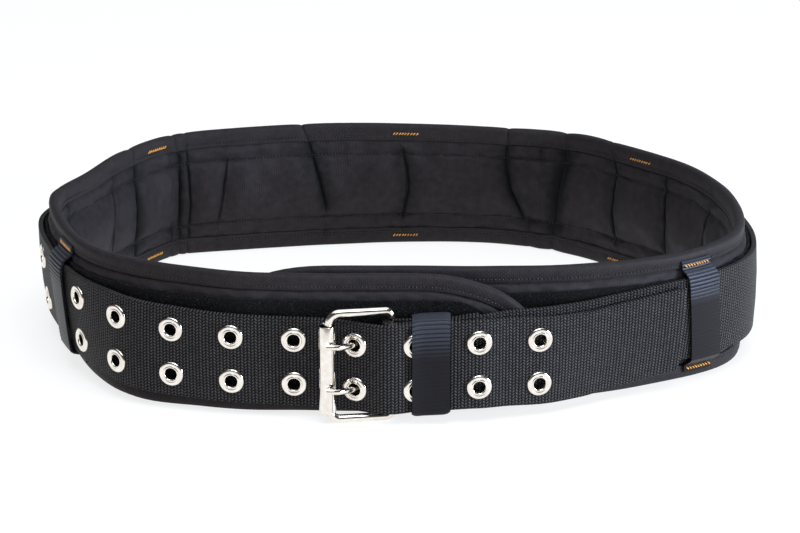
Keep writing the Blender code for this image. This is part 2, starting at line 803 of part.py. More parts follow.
def build_belt_loop(name, middle, slant):
    """Tape sewn to the binding below and above, standing out over the webbing."""
    past = GIRTH - middle
    over = web_out(past) + (TAPE_CLEAR_GROMMET if middle < GROMMETED_TO else TAPE_CLEAR)
    low = web_mid(past) - WEB_WIDTH / 2 - LOOP_EDGE_CLEAR
    high = web_mid(past) + WEB_WIDTH / 2 + LOOP_EDGE_CLEAR
    seat = TAPE_SEAT
    profile = (
        (seat, LOOP_LOW),
        (seat, LOOP_LOW + 0.0044),
        (seat + 0.0014, LOOP_LOW + 0.0056),
        (over - 0.0010, low),
        (over, low + 0.0022),
        (over + 0.0007, high - 0.0095),
        (over - 0.0010, high),
        (seat + 0.0014, LOOP_HIGH - 0.0056),
        (seat, LOOP_HIGH - 0.0044),
        (seat, LOOP_HIGH),
    )
    bm = bmesh.new()
    columns = []
    for share in (-LOOP_WIDTH / 2, 0.0, LOOP_WIDTH / 2):
        columns.append([bm.verts.new(loop_place(middle, slant, share, height, out)) for out, height in profile])
    for a, b in zip(columns, columns[1:]):
        for i in range(len(a) - 1):
            bm.faces.new((a[i], a[i + 1], b[i + 1], b[i]))
    tape = new_object(f"belt_loop_{name}", bm, "ribbed_tape")
    thicken = tape.modifiers.new("thickness", "SOLIDIFY")
    thicken.thickness = TAPE_THICK
    thicken.offset = 0.0
    thicken.use_even_offset = True
    apply_modifiers(tape)
    shade_round(tape)


def build_bartack(name, middle, slant, height):
    """Bar of thread across the end of a loop."""
    near = TAPE_SEAT + TAPE_THICK / 2 + 0.0002
    far = near + BARTACK_THICK
    sections = []
    for share in (-BARTACK_LENGTH / 2, 0.0, BARTACK_LENGTH / 2):
        low, high = height - BARTACK_HEIGHT / 2, height + BARTACK_HEIGHT / 2
        corners = ((low, near), (low, far), (high, far), (high, near))
        sections.append([loop_place(middle, slant, share, z, out) for z, out in corners])
    loft(f"bartack_{name}", sections, "orange_thread")


def centre_on_origin():
    """Moves every body so that the origin is under the middle of the bounding box."""
    corners = [thing.matrix_world @ vert.co for thing in BODIES.objects for vert in thing.data.vertices]
    low = Vector([min(c[i] for c in corners) for i in range(3)])
    high = Vector([max(c[i] for c in corners) for i in range(3)])
    shift = Vector((-(low.x + high.x) / 2, -(low.y + high.y) / 2, -low.z))
    for thing in BODIES.objects:
        thing.data.transform(Matrix.Translation(shift))
    print("moved by", [round(v, 5) for v in shift], "size", [round(v, 5) for v in high - low])
    print("girth", round(GIRTH, 4), "webbing length", round(WEB_LENGTH, 4))


build_pad()
build_binding()
build_strip()
build_webbing()
build_grommets()
build_frame()
build_roller()
build_prongs()
build_keeper()
for loop_name, loop_middle, loop_slant in LOOPS:
    build_belt_loop(loop_name, loop_middle * MM, loop_slant * MM)
    build_bartack(f"{loop_name}_low", loop_middle * MM, loop_slant * MM, LOOP_LOW + BARTACK_INSET)
    build_bartack(f"{loop_name}_high", loop_middle * MM, loop_slant * MM, LOOP_HIGH - BARTACK_INSET)
centre_on_origin()
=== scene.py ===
import bisect
import math
import random

import bmesh
import bpy
from mathutils import Matrix, Vector, noise


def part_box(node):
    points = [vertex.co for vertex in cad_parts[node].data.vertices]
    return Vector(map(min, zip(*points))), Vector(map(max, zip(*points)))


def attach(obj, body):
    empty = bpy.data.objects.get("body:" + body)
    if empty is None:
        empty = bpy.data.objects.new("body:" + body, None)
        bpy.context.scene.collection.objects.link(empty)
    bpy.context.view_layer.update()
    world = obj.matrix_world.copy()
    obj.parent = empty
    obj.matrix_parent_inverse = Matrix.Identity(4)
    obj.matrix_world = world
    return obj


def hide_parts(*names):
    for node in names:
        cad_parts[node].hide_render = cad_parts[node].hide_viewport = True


# Padded work belt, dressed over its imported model. Metres, +Z up, buckle towards -Y.
# Round distances run along the waist curve from the front centre, clockwise seen from above.

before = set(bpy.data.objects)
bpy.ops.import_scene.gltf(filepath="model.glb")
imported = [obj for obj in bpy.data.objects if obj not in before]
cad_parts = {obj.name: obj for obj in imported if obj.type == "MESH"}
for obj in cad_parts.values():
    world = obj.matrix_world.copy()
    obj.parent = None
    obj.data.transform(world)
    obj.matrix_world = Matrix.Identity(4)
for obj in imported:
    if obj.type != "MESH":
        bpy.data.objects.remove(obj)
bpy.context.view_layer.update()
bpy.ops.object.select_all(action="DESELECT")
mm = 0.001
random.seed(7)
print("frame loaded,", len(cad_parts), "nodes")


# Camera at the photograph's angle, soft white studio, pale floor

studio = {
    "cameraAt": (0.00269, -1.5502, 0.6003),
    "tilt": math.radians(70),
    "lens": 126.135,
    "sensorWidth": 36,
    "clipStart": 0.05,
    "floorSize": 12.0,
    "worldStrength": 0.9,
    # height on the sky's ramp and brightness there; below skyWarmTo it is warm, above it cool
    "sky": ((0.5, 0.5), (0.56, 0.3), (0.62, 0.08), (0.88, 0.08), (0.92, 1.3), (1.0, 1.3)),
    "skyWarmTo": 0.7,
    "skyWarm": 0.03,
    "skyCool": -0.06,
    # name, place, size, power and colour
    "lights": (("softboxTop", (0.1, -0.7, 1.4), 1.0, 13, (0.84, 0.92, 1.0)),
               ("softboxSide", (1.7, -0.75, 0.3), 0.6, 52, (0.70, 0.83, 1.0))),
    "floorGlow": 0.79,
}


def addAreaLight(name, place, size, power, colour):
    bpy.ops.object.light_add(type="AREA", location=place)
    light = bpy.context.object
    light.name = name
    light.data.size = size
    light.data.energy = power
    light.data.color = colour
    light.rotation_euler = (-Vector(place)).to_track_quat("-Z", "Y").to_euler()


bpy.ops.object.camera_add(location=studio["cameraAt"], rotation=(studio["tilt"], 0, 0))
camera = bpy.context.object
camera.data.lens = studio["lens"]
camera.data.sensor_width = studio["sensorWidth"]
camera.data.clip_start = studio["clipStart"]
bpy.context.scene.camera = camera
bpy.context.scene.view_settings.view_transform = "Standard"

for light in studio["lights"]:
    addAreaLight(*light)
print("camera and lights placed")


# Waist curve seen from above: x, y and outward lean of the top edge, in mm

waistRows = (
    (0, -132.5, 0), (-55, -131.5, 2), (-105, -129, -1), (-142, -123, -4), (-169, -98.5, 5),
    (-187.5, -58, 8), (-199.5, -8, 4), (-187, 32, -3), (-169, 72, 1), (-142, 107, -1),
    (-96.5, 121, 2), (-45, 130, 2), (10, 132, -5), (62.5, 126.5, -9), (108.5, 110, 0),
    (140, 82, 1), (171.5, 45.5, 2), (189, 4, 1), (194.5, -42, -1), (184, -78.5, 4),
    (150, -106.5, 12), (100, -125.5, 8), (50, -132.3, 2),
)
originShift = Vector((0.00269, 0.01249, 0))  # the part's source moves everything by this

pad = {
    "height": 80 * mm,
    "outerTip": -74.7 * mm,
    "innerTipPastFront": 106 * mm,
    "tongueLength": 64 * mm,
    "tongueMidInset": 28 * mm,
    "tongueRows": 17,
    "tongueSpread": 1.25,
    "lapStep": 12 * mm,
    "lapFull": 75 * mm,
    "lapNone": 155 * mm,
    "lapPress": 0.35,
    "pressPast": 15 * mm,
    "pressOver": 40 * mm,
    "stationStep": 5.2 * mm,
}
midHeight = pad["height"] / 2


def curveSamples(rows, stepsARow=24):
    # closed Catmull-Rom curve
    points = [Vector(row) * mm for row in rows]
    samples = []
    for i, b in enumerate(points):
        a, c, d = points[i - 1], points[(i + 1) % len(points)], points[(i + 2) % len(points)]
        for step in range(stepsARow):
            u = step / stepsARow
            square, cube = 2 * a - 5 * b + 4 * c - d, 3 * b - a - 3 * c + d
            samples.append(0.5 * (2 * b + (c - a) * u + square * u * u + cube * u ** 3))
    return samples + [samples[0].copy()]


def runsAlong(points):
    # length of the line up to each of its points
    runs = [0.0]
    for before, after in zip(points, points[1:]):
        runs.append(runs[-1] + (after - before).length)
    return runs


def spanAt(runs, run):
    # the point after a run along a line, and the share of the way to it from the point before
    i = min(max(bisect.bisect_right(runs, run), 1), len(runs) - 1)
    share = (run - runs[i - 1]) / max(runs[i] - runs[i - 1], 1e-9)
    return i, min(max(share, 0.0), 1.0)


waistSamples = curveSamples(waistRows)
waistRound = runsAlong([sample.xy for sample in waistSamples])
girth = waistRound[-1]
innerTip = girth + pad["innerTipPastFront"]


def waistAt(distance):
    i, share = spanAt(waistRound, distance % girth)
    return waistSamples[i - 1].lerp(waistSamples[i], share)


def waistFrame(distance, reach=4 * mm):
    here = waistAt(distance)
    along = (waistAt(distance + reach).xy - waistAt(distance - reach).xy).normalized()
    return here.xy, along, Vector((-along.y, along.x)), here.z


def placeRound(distance, height, out):
    # a point at a round distance, a height, and so far out from the waist curve
    point, along, outward, lean = waistFrame(distance)
    plan = point + outward * (out + lean * (height / pad["height"] - 0.5))
    return Vector((plan.x, plan.y, height)) + originShift


def smoothStep(x):
    x = min(max(x, 0.0), 1.0)
    return x * x * (3 - 2 * x)


def lapOut(distance):
    # the outer end stands out over the inner end
    return pad["lapStep"] * smoothStep((pad["lapNone"] - distance) / (pad["lapNone"] - pad["lapFull"]))


def monotone(rows):
    # curve through (x, value) rows that never overshoots them
    xs = [row[0] for row in rows]
    ys = [row[1] for row in rows]
    slopes = [(ys[i + 1] - ys[i]) / (xs[i + 1] - xs[i]) for i in range(len(xs) - 1)]
    tangents = [slopes[0]]
    for a, b in zip(slopes, slopes[1:]):
        tangents.append(0.0 if a * b <= 0 else 2 * a * b / (a + b))
    tangents.append(slopes[-1])

    def value(x):
        i = min(max(bisect.bisect_right(xs, x) - 1, 0), len(xs) - 2)
        width = xs[i + 1] - xs[i]
        u = min(max((x - xs[i]) / width, 0.0), 1.0)
        keep = (1 + 2 * u) * (1 - u) ** 2 * ys[i] + u * u * (3 - 2 * u) * ys[i + 1]
        return keep + width * (u * (1 - u) ** 2 * tangents[i] - u * u * (1 - u) * tangents[i + 1])

    return value


# Creases of the lining: strength, then round distance and height down each line, in mm

creases = (
    (0.5, (287, 80), (289, 40), (288, 0)),
    (0.4, (344, 72), (342.6, 62), (338, 28), (340, 6)),
    (1.0, (369.2, 80), (369.2, 58), (368.9, 38), (365, 0)),
    (0.5, (402, 24), (401.6, 0)),
    (0.9, (406, 80), (409.4, 64), (408, 22), (408.8, 0)),
    (0.7, (414.5, 80), (416.2, 36), (414, 0)),
    (0.4, (441.4, 60), (434.8, 22)),
    (0.9, (489.5, 80), (493.7, 69), (499.7, 46), (504, 28)),
    (0.8, (554, 62), (557.1, 46), (557.1, 36), (554, 20)),
    (0.9, (621.8, 80), (620.4, 58), (623.6, 40), (631.5, 22)),
    (0.7, (636, 21), (636, 0)),
    (0.5, (643.4, 72), (643.4, 62)),
    (1.5, (659.2, 80), (660.2, 64), (655.1, 39), (653.5, 23), (650.6, 0)),
    (0.7, (692.5, 80), (700.6, 64), (699.2, 38), (701.4, 18)),
    (0.7, (741, 68), (743.5, 40), (745, 0)),
    (0.5, (790.2, 64), (787.5, 46), (787, 20)),
)
crease = {
    "sharp": 1.2,
    "soft": 7.0,
    "softShare": 0.28,
    "fade": 5.0,
    "columns": (-2.8, -1.5, -0.75, -0.3, 0, 0.3, 0.75, 1.5, 2.8),
    "columnsClear": 3.6,
    "sharpLeast": 0.7,
    "warpReach": 20.0,
}


def lineAt(line, height):
    # round distance of a crease's line at a height, all in mm
    for (a, top), (b, low) in zip(line, line[1:]):
        if height > low:
            return b + (a - b) * min((height - low) / (top - low), 1)
    return line[-1][0]


def creaseAt(distance, height):
    # 0 on the open lining, 1 in the deepest crease
    distance, height = distance / mm, height / mm
    deepest = 0.0
    for strength, *line in creases:
        off = abs(distance - lineAt(line, height))
        if off < 3 * crease["soft"]:
            ends = smoothStep(1 - (height - line[0][1]) / crease["fade"])
            ends *= smoothStep(1 - (line[-1][1] - height) / crease["fade"])
            width = crease["sharp"] * max(strength, crease["sharpLeast"]) ** 2
            sharp = math.exp(-off / width) * (1 - crease["softShare"])
            soft = math.exp(-(off / crease["soft"]) ** 2) * crease["softShare"]
            deepest = max(deepest, min(strength, 1) * ends * (sharp + soft))
    return deepest


def warped(distance, height):
    # moves the mesh's columns so that they follow the creases
    moved = distance
    for _, *line in creases:
        middle = lineAt(line, midHeight / mm) * mm
        near = 1 - abs(distance - middle) / (crease["warpReach"] * mm)
        if near > 0:
            moved += (lineAt(line, height / mm) * mm - middle) * near
    return moved


# Outline of the liner in its own plane: edge point, way in, and the place at mid height it faces

def tongueRow(angle, tip, way):
    run = pad["tongueLength"] * (1 - math.cos(angle))
    edge = (tip + way * run, midHeight + midHeight * math.sin(angle))
    inward = Vector((way * midHeight * math.cos(angle), -pad["tongueLength"] * math.sin(angle))).normalized()
    midRun = pad["tongueMidInset"] + (pad["tongueLength"] - pad["tongueMidInset"]) * (1 - math.cos(angle))
    return edge, inward, tip + way * midRun


def stationsAlong(first, last, step):
    # even stations, with close ones at the creases in their place
    count = round((last - first) / step)
    stations = [first + (last - first) * i / count for i in range(count + 1)]
    for _, *line in creases:
        middle = lineAt(line, midHeight / mm) * mm
        stations = [s for s in stations if abs(s - middle) > crease["columnsClear"] * mm]
        stations += [middle + off * mm for off in crease["columns"]]
    return sorted(stations)


def outlineRows(step):
    count = pad["tongueRows"]
    angles = [math.pi / 2 * (i / count) ** pad["tongueSpread"] for i in range(count)]
    rows = [tongueRow(a, pad["outerTip"], 1) for a in angles]
    first, last = pad["outerTip"] + pad["tongueLength"], innerTip - pad["tongueLength"]
    for distance in stationsAlong(first, last, step):
        rows.append(((distance, pad["height"]), Vector((0, -1)), distance))
    return rows + [tongueRow(a, innerTip, -1) for a in reversed(angles)]


def edgePoint(row, inset, out, upper):
    (distance, height), inward, _ = row
    distance += inward.x * inset
    height += inward.y * inset
    if not upper:
        height = pad["height"] - height
    return placeRound(warped(distance, height), height, out + lapOut(distance))


def creaseOn(row, inset, upper):
    # how deep in a crease the liner is at an inset from its edge, in mm
    height = row[0][1] + row[1].y * inset * mm
    height = height if upper else pad["height"] - height
    return creaseAt(warped(row[0][0], height), height)


outline = outlineRows(pad["stationStep"])


# Making pieces

def deselectAll():
    if bpy.context.object and bpy.context.object.mode != "OBJECT":
        bpy.ops.object.mode_set(mode="OBJECT")
    bpy.ops.object.select_all(action="DESELECT")


def makeActive(piece):
    deselectAll()
    piece.select_set(True)
    bpy.context.view_layer.objects.active = piece


def applyModifiers(piece):
    makeActive(piece)
    for modifier in list(piece.modifiers):
        bpy.ops.object.modifier_apply(modifier=modifier.name)


def weldAndFace(threshold):
    # joins doubled points of the active mesh and turns its faces outwards
    bpy.ops.object.mode_set(mode="EDIT")
    bpy.ops.mesh.select_all(action="SELECT")
    bpy.ops.mesh.remove_doubles(threshold=threshold)
    bpy.ops.mesh.normals_make_consistent(inside=False)
    bpy.ops.object.mode_set(mode="OBJECT")


def layGrid(name, columns, rows, placeAt, size, closeRows=False, closeColumns=False):
    # flat grid primitive laid by a function; its UV map keeps the flat size in metres
    deselectAll()
    bpy.ops.mesh.primitive_grid_add(x_subdivisions=columns, y_subdivisions=rows, size=2)
    piece = bpy.context.object
    piece.name = name
    for loop in piece.data.uv_layers.active.data:
        loop.uv = (loop.uv.x * size[0], loop.uv.y * size[1])
    for vert in piece.data.vertices:
        i = round((vert.co.x + 1) / 2 * columns)
        j = round((vert.co.y + 1) / 2 * rows)
        vert.co = placeAt(i % columns if closeColumns else i, j % rows if closeRows else j)
    weldAndFace(0.00001)
    return piece


def thicken(piece, thickness):
    wall = piece.modifiers.new("thickness", "SOLIDIFY")
    wall.thickness = thickness
    wall.offset = 0
    applyModifiers(piece)


def bevelEdges(piece, width, segments):
    bevel = piece.modifiers.new("rounding", "BEVEL")
    bevel.width = width
    bevel.segments = segments
    bevel.limit_method = "ANGLE"
    bevel.angle_limit = math.radians(60)
    applyModifiers(piece)


def finishPiece(piece, angle, material, replaces=()):
    # faces that meet at less than the angle are shaded smooth, none at 0
    if angle:
        makeActive(piece)
        bpy.ops.object.shade_smooth_by_angle(angle=math.radians(angle))
    piece.data.materials.clear()
    piece.data.materials.append(material)
    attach(piece, "root")
    if replaces:
        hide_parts(*replaces)


def linkedPiece(name, mesh):
    piece = bpy.data.objects.new(name, mesh)
    bpy.context.scene.collection.objects.link(piece)
    return piece


def meshPiece(name, verts, faces):
    mesh = bpy.data.meshes.new(name)
    mesh.from_pydata(verts, [], faces)
    return linkedPiece(name, mesh)


def turnedPiece(name, ring, start, angle, steps, solidEnds):
    # a closed ring of (radius, height) points turned about the z axis
    bm = bmesh.new()
    verts = [bm.verts.new((r * math.cos(start), r * math.sin(start), z)) for r, z in ring]
    section = verts + [bm.edges.new(pair) for pair in zip(verts, verts[1:] + verts[:1])]
    if solidEnds:
        section.append(bm.faces.new(verts))
    bmesh.ops.spin(bm, geom=section, cent=(0, 0, 0), axis=(0, 0, 1), angle=angle, steps=steps,
                   use_merge=not solidEnds)
    bmesh.ops.remove_doubles(bm, verts=bm.verts[:], dist=0.000001)
    bmesh.ops.recalc_face_normals(bm, faces=bm.faces[:])
    mesh = bpy.data.meshes.new(name)
    bm.to_mesh(mesh)
    bm.free()
    return linkedPiece(name, mesh)


def copiesOf(name, template, places):
    # one mesh from a template repeated at each matrix
    verts, faces = [], []
    for place in places:
        first = len(verts)
        verts.extend(place @ vert.co for vert in template.data.vertices)
        faces.extend([first + i for i in face.vertices] for face in template.data.polygons)
    return meshPiece(name, verts, faces)


def standAt(here, along, out, turn=0.0):
    # matrix at a point, with x along a line, turned a little, and z out from the face
    along = along.normalized()
    out = (out - along * out.dot(along)).normalized()
    turned = along * math.cos(turn) + out.cross(along) * math.sin(turn)
    return Matrix.Translation(here) @ Matrix((turned, out.cross(turned), out)).transposed().to_4x4()


def wirePiece(name, points, radius, sides, cyclic=False, radii=None):
    # round wire along points, made a mesh
    deselectAll()
    bpy.ops.curve.primitive_nurbs_path_add()
    piece = bpy.context.object
    piece.name = name
    curve = piece.data
    curve.splines.clear()
    line = curve.splines.new("POLY")
    line.points.add(len(points) - 1)
    line.use_cyclic_u = cyclic
    for i, point in enumerate(points):
        line.points[i].co = (*point, 1)
        line.points[i].radius = radii[i] if radii else 1
    curve.dimensions = "3D"
    curve.bevel_depth = radius
    curve.bevel_resolution = sides
    curve.use_fill_caps = not cyclic
    bpy.ops.object.convert(target="MESH")
    weldAndFace(0.000005)
    return piece


def rounded(points, rounds):
    # cuts the corners of an open line, again and again
    for _ in range(rounds):
        cut = [points[0]]
        for a, b in zip(points, points[1:]):
            cut.append(a * 0.75 + b * 0.25)
            cut.append(a * 0.25 + b * 0.75)
        points = cut + [points[-1]]
    return points


def evenly(points, step):
    # the same line with points a step apart
    runs = runsAlong(points)
    count = max(2, round(runs[-1] / step))
    line = []
    for k in range(count + 1):
        i, share = spanAt(runs, runs[-1] * k / count)
        line.append(points[i - 1].lerp(points[i], share))
    return line


# Ribbed tape of the keeper and the belt loops

tape = {
    "width": 20.5 * mm,
    "thickness": 1.1 * mm,
    "rib": 2.3 * mm,
    "ribHeight": 0.4 * mm,
    # heights from which the ribs stand full and the painted highlight on their crests starts, and over how far
    "keeperWornAndHighlit": 38 * mm,
    "loopWornAndHighlit": 50 * mm,
    "wornAndHighlitOver": 13 * mm,
    "wornShare": 0.22,
    "step": 0.34 * mm,
    "seat": 4.0 * mm,
    "clear": 2.35 * mm,
    "clearEyelet": 3.25 * mm,
    "eyeletsTo": 300 * mm,
    "loopWidth": 19.0 * mm,
    "low": 4.5 * mm,
    "high": 75.5 * mm,
    "edgeClear": 1.9 * mm,
    "keeperFrom": 7.0 * mm,
    "keeperTo": 27.2 * mm,
    "keeperBack": 17.65 * mm,
    "keeperLow": 5.65 * mm,
    "keeperHigh": 59.65 * mm,
    "keeperTilt": 0.05,
    "keeperSoft": 1.5 * mm,
    "keeperFrontClear": 3.35 * mm,
    "keeperCorner": 2.4 * mm,
    "keeperBrow": (3.2 * mm, 7.5 * mm),
    "keeperColumns": 14,
    "cornerSteps": 8,
    "pointsARib": 5,
    "loopColumns": 12,
    # out and up from the seat at an end of the loop, then from where it passes over the webbing's edges
    "loopFoot": ((0, 0), (0, 4.4 * mm), (1.4 * mm, 5.6 * mm)),
    "loopLow": ((-1.0 * mm, 0), (0, 2.2 * mm)),
    "loopHigh": ((0.3 * mm, -9.5 * mm), (-1.0 * mm, 0)),
}


# Materials

def hexColour(code):
    # sRGB hex to linear
    channels = [int(code[i:i + 2], 16) / 255 for i in (1, 3, 5)]
    return tuple(c / 12.92 if c <= 0.04045 else ((c + 0.055) / 1.055) ** 2.4 for c in channels) + (1,)


def addNode(material, kind, inputs=(), **settings):
    # a node with its settings, and its inputs given as values or as sockets to link
    node = material.node_tree.nodes.new(kind)
    for key, value in settings.items():
        setattr(node, key, value)
    for socket, value in dict(inputs).items():
        if isinstance(value, bpy.types.NodeSocket):
            material.node_tree.links.new(value, node.inputs[socket])
        else:
            node.inputs[socket].default_value = value
    return node


def newMaterial(name, **sockets):
    material = bpy.data.materials.new(name)
    material.use_nodes = True
    shader = material.node_tree.nodes["Principled BSDF"]
    for socket, value in sockets.items():
        shader.inputs[socket.replace("_", " ")].default_value = value
    return material, shader


def link(material, source, target):
    material.node_tree.links.new(source, target)


def mathNode(material, operation, a, b=0.0, c=0.0):
    node = addNode(material, "ShaderNodeMath", {0: a, 1: b}, operation=operation)
    if operation == "MULTIPLY_ADD":
        node.inputs[2].default_value = c
    return node.outputs[0]


def blendOf(material, a, shareA, b, shareB):
    return mathNode(material, "ADD", mathNode(material, "MULTIPLY", a, shareA),
                    mathNode(material, "MULTIPLY", b, shareB))


def threadCell(material, runPitch, acrossPitch, lean=0.0, drop=0.5):
    # height of the thread knuckles, from the piece's flat UV in metres; the columns lean by turns
    uv = addNode(material, "ShaderNodeUVMap", uv_map="UVMap")
    parts = addNode(material, "ShaderNodeSeparateXYZ", {0: uv.outputs[0]})
    run = mathNode(material, "DIVIDE", parts.outputs[0], runPitch)
    across = mathNode(material, "DIVIDE", parts.outputs[1], acrossPitch)
    odd = mathNode(material, "MODULO", mathNode(material, "FLOOR", run), 2.0)
    runShare = mathNode(material, "FRACT", run)
    if lean:
        way = mathNode(material, "MULTIPLY_ADD", odd, 2 * lean, -lean)
        across = mathNode(material, "ADD", across, mathNode(material, "MULTIPLY", way, runShare))
    if drop:
        across = mathNode(material, "ADD", across, mathNode(material, "MULTIPLY", odd, drop))
    waves = []
    for share in (runShare, mathNode(material, "FRACT", across)):
        waves.append(mathNode(material, "SINE", mathNode(material, "MULTIPLY", share, math.pi)))
    return mathNode(material, "MULTIPLY", waves[0], waves[1])


def noiseOn(material, scale, detail):
    coordinates = addNode(material, "ShaderNodeTexCoord")
    texture = addNode(material, "ShaderNodeTexNoise", {
        "Vector": coordinates.outputs["Object"], "Scale": scale, "Detail": detail})
    return texture.outputs["Fac"]


def paint(material, shader, factor, low, high, lowAt=0.0, highAt=1.0):
    # base colour between two hex colours
    ramp = addNode(material, "ShaderNodeValToRGB", {"Fac": factor})
    for element, position, code in zip(ramp.color_ramp.elements, (lowAt, highAt), (low, high)):
        element.position = position
        element.color = hexColour(code)
    link(material, ramp.outputs["Color"], shader.inputs["Base Color"])


def addBump(material, shader, height, distance, strength, under=None):
    inputs = {"Height": height, "Distance": distance, "Strength": strength}
    if under:
        inputs["Normal"] = under
    bump = addNode(material, "ShaderNodeBump", inputs)
    link(material, bump.outputs[0], shader.inputs["Normal"])
    return bump.outputs[0]


def makeLiningNylon():
    # brushed nylon lining: matt black with a faint cool bloom where it turns to the light
    material, shader = newMaterial("blackLiningNylon", Roughness=0.6, Specular_IOR_Level=0.16,
                                   Sheen_Weight=0.1, Sheen_Roughness=0.45, Sheen_Tint=hexColour("#9ea4b8"))
    weave = threadCell(material, 0.9 * mm, 0.9 * mm)  # real threads are 0.3 mm, drawn coarser so that they show
    mixed = blendOf(material, weave, 0.35, noiseOn(material, 240, 4), 0.7)
    folds = addNode(material, "ShaderNodeAttribute", attribute_name="crease")  # no light reaches into the folds
    mixed = mathNode(material, "SUBTRACT", mixed, mathNode(material, "MULTIPLY", folds.outputs["Fac"], 1.1))
    paint(material, shader, mixed, "#060505", "#352f32", 0.0, 0.85)
    wrinkle = addBump(material, shader, noiseOn(material, 95, 3), 0.5 * mm, 0.35)
    addBump(material, shader, weave, 0.09 * mm, 0.8, wrinkle)
    return material


def makeBindingTwill():
    # woven polyester tape: matt black, fine ribs across its width
    material, shader = newMaterial("blackBindingTape", Roughness=0.62, Specular_IOR_Level=0.16,
                                   Sheen_Weight=0.1, Sheen_Roughness=0.5, Sheen_Tint=hexColour("#a0a3ae"))
    weave = threadCell(material, 0.75 * mm, 1.3 * mm)  # drawn about twice as coarse as the real 0.4 mm
    mixed = blendOf(material, weave, 0.4, noiseOn(material, 300, 3), 0.6)
    paint(material, shader, mixed, "#1c181a", "#352f30", 0.2, 0.85)
    wrinkle = addBump(material, shader, noiseOn(material, 130, 3), 0.4 * mm, 0.35)
    addBump(material, shader, weave, 0.1 * mm, 0.8, wrinkle)
    return material


def makeHookPile(name, low, high):
    # hook-and-loop pile: the deepest black, it swallows the light between its fibres
    material, shader = newMaterial(name, Roughness=0.8, Specular_IOR_Level=0.15, Sheen_Weight=0.04)
    speck = noiseOn(material, 1400, 2)
    paint(material, shader, speck, low, high, 0.42, 0.66)
    addBump(material, shader, speck, 0.4 * mm, 0.9)
    return material


def makeWebbingNylon():
    # coarse nylon webbing: charcoal herringbone, each thread knuckle painted with a small light dot as a
    # highlight
    material, shader = newMaterial("blackWebbing", Roughness=0.5, Specular_IOR_Level=0.12,
                                   Specular_Tint=hexColour("#d6dcf0"), Sheen_Weight=0.02,
                                   Sheen_Roughness=0.4, Sheen_Tint=hexColour("#a8adbd"))
    weave = threadCell(material, 1.9 * mm, 1.75 * mm, 0.75, 0.0)  # coarser than the real weave, to show
    uneven = noiseOn(material, 300, 3)
    # painted highlight: each knuckle's top lighter, unevenly
    lit = mathNode(material, "MULTIPLY", mathNode(material, "POWER", weave, 1.6),
                   mathNode(material, "MULTIPLY_ADD", uneven, 1.1, 0.42))
    paint(material, shader, lit, "#0a0909", "#54504f", 0.02)
    addBump(material, shader, weave, 0.5 * mm, 0.9)
    return material


def makeRibbedTape(name, highlitFrom):
    # grosgrain tape: near black, with a painted bluish highlight on its rib crests where it bends over
    # the belt's upper edge
    material, shader = newMaterial(name, Roughness=0.38, Specular_IOR_Level=0.2,
                                   Specular_Tint=hexColour("#dde2f2"), Sheen_Weight=0.03,
                                   Sheen_Roughness=0.35, Sheen_Tint=hexColour("#8c9ac0"))
    threads = threadCell(material, 0.6 * mm, tape["rib"], 0.0, 0.0)
    mixed = blendOf(material, threads, 0.35, noiseOn(material, 350, 2), 0.5)
    uv = addNode(material, "ShaderNodeUVMap", uv_map="UVMap")
    along = addNode(material, "ShaderNodeSeparateXYZ", {0: uv.outputs[0]}).outputs[1]
    crest = mathNode(material, "COSINE", mathNode(material, "MULTIPLY", along, 2 * math.pi / tape["rib"]))
    crest = mathNode(material, "MULTIPLY_ADD", crest, 0.5, 0.5)
    place = addNode(material, "ShaderNodeTexCoord").outputs["Object"]
    height = addNode(material, "ShaderNodeSeparateXYZ", {0: place}).outputs[2]
    upper = addNode(material, "ShaderNodeMapRange", {
        "Value": height, "From Min": highlitFrom, "From Max": highlitFrom + tape["wornAndHighlitOver"]})
    # painted highlight: the rib crests above that height painted lighter and bluish
    bloom = mathNode(material, "MULTIPLY", mathNode(material, "MULTIPLY", crest, upper.outputs[0]), 0.85)
    lit = mathNode(material, "ADD", mathNode(material, "MULTIPLY", mixed, 0.07), bloom)
    paint(material, shader, lit, "#151213", "#3d3f48")
    addBump(material, shader, threads, 0.08 * mm, 0.8)
    return material


def makeThread(name, low, high):
    # twisted polyester thread: satin, spotted at random with a lighter tone as a painted highlight
    material, shader = newMaterial(name, Roughness=0.42, Specular_IOR_Level=0.5, Sheen_Weight=0.05)
    twist = noiseOn(material, 1700, 2)
    paint(material, shader, twist, low, high, 0.35, 0.65)
    addBump(material, shader, twist, 0.12 * mm, 0.7)
    return material


def makeNickelPlate():
    # polished nickel plate: warm cream-silver mirror with faint rubbed haze
    material, shader = newMaterial("polishedNickel", Metallic=1.0)
    haze = noiseOn(material, 260, 4)
    paint(material, shader, haze, "#e6ddd2", "#f6f0e8", 0.3, 0.7)
    rough = addNode(material, "ShaderNodeMapRange", {"Value": haze, "To Min": 0.05, "To Max": 0.13})
    link(material, rough.outputs[0], shader.inputs["Roughness"])
    addBump(material, shader, noiseOn(material, 900, 2), 0.02 * mm, 0.5)
    return material


def makeFloorAcrylic():
    # seamless white acrylic, lit a little from below
    material, shader = newMaterial("whiteAcrylic", Roughness=0.9, Specular_IOR_Level=0.1,
                                   Emission_Color=hexColour("#ffffff"),
                                   Emission_Strength=studio["floorGlow"])
    paint(material, shader, noiseOn(material, 6, 2), "#8f8f8f", "#939393")
    return material


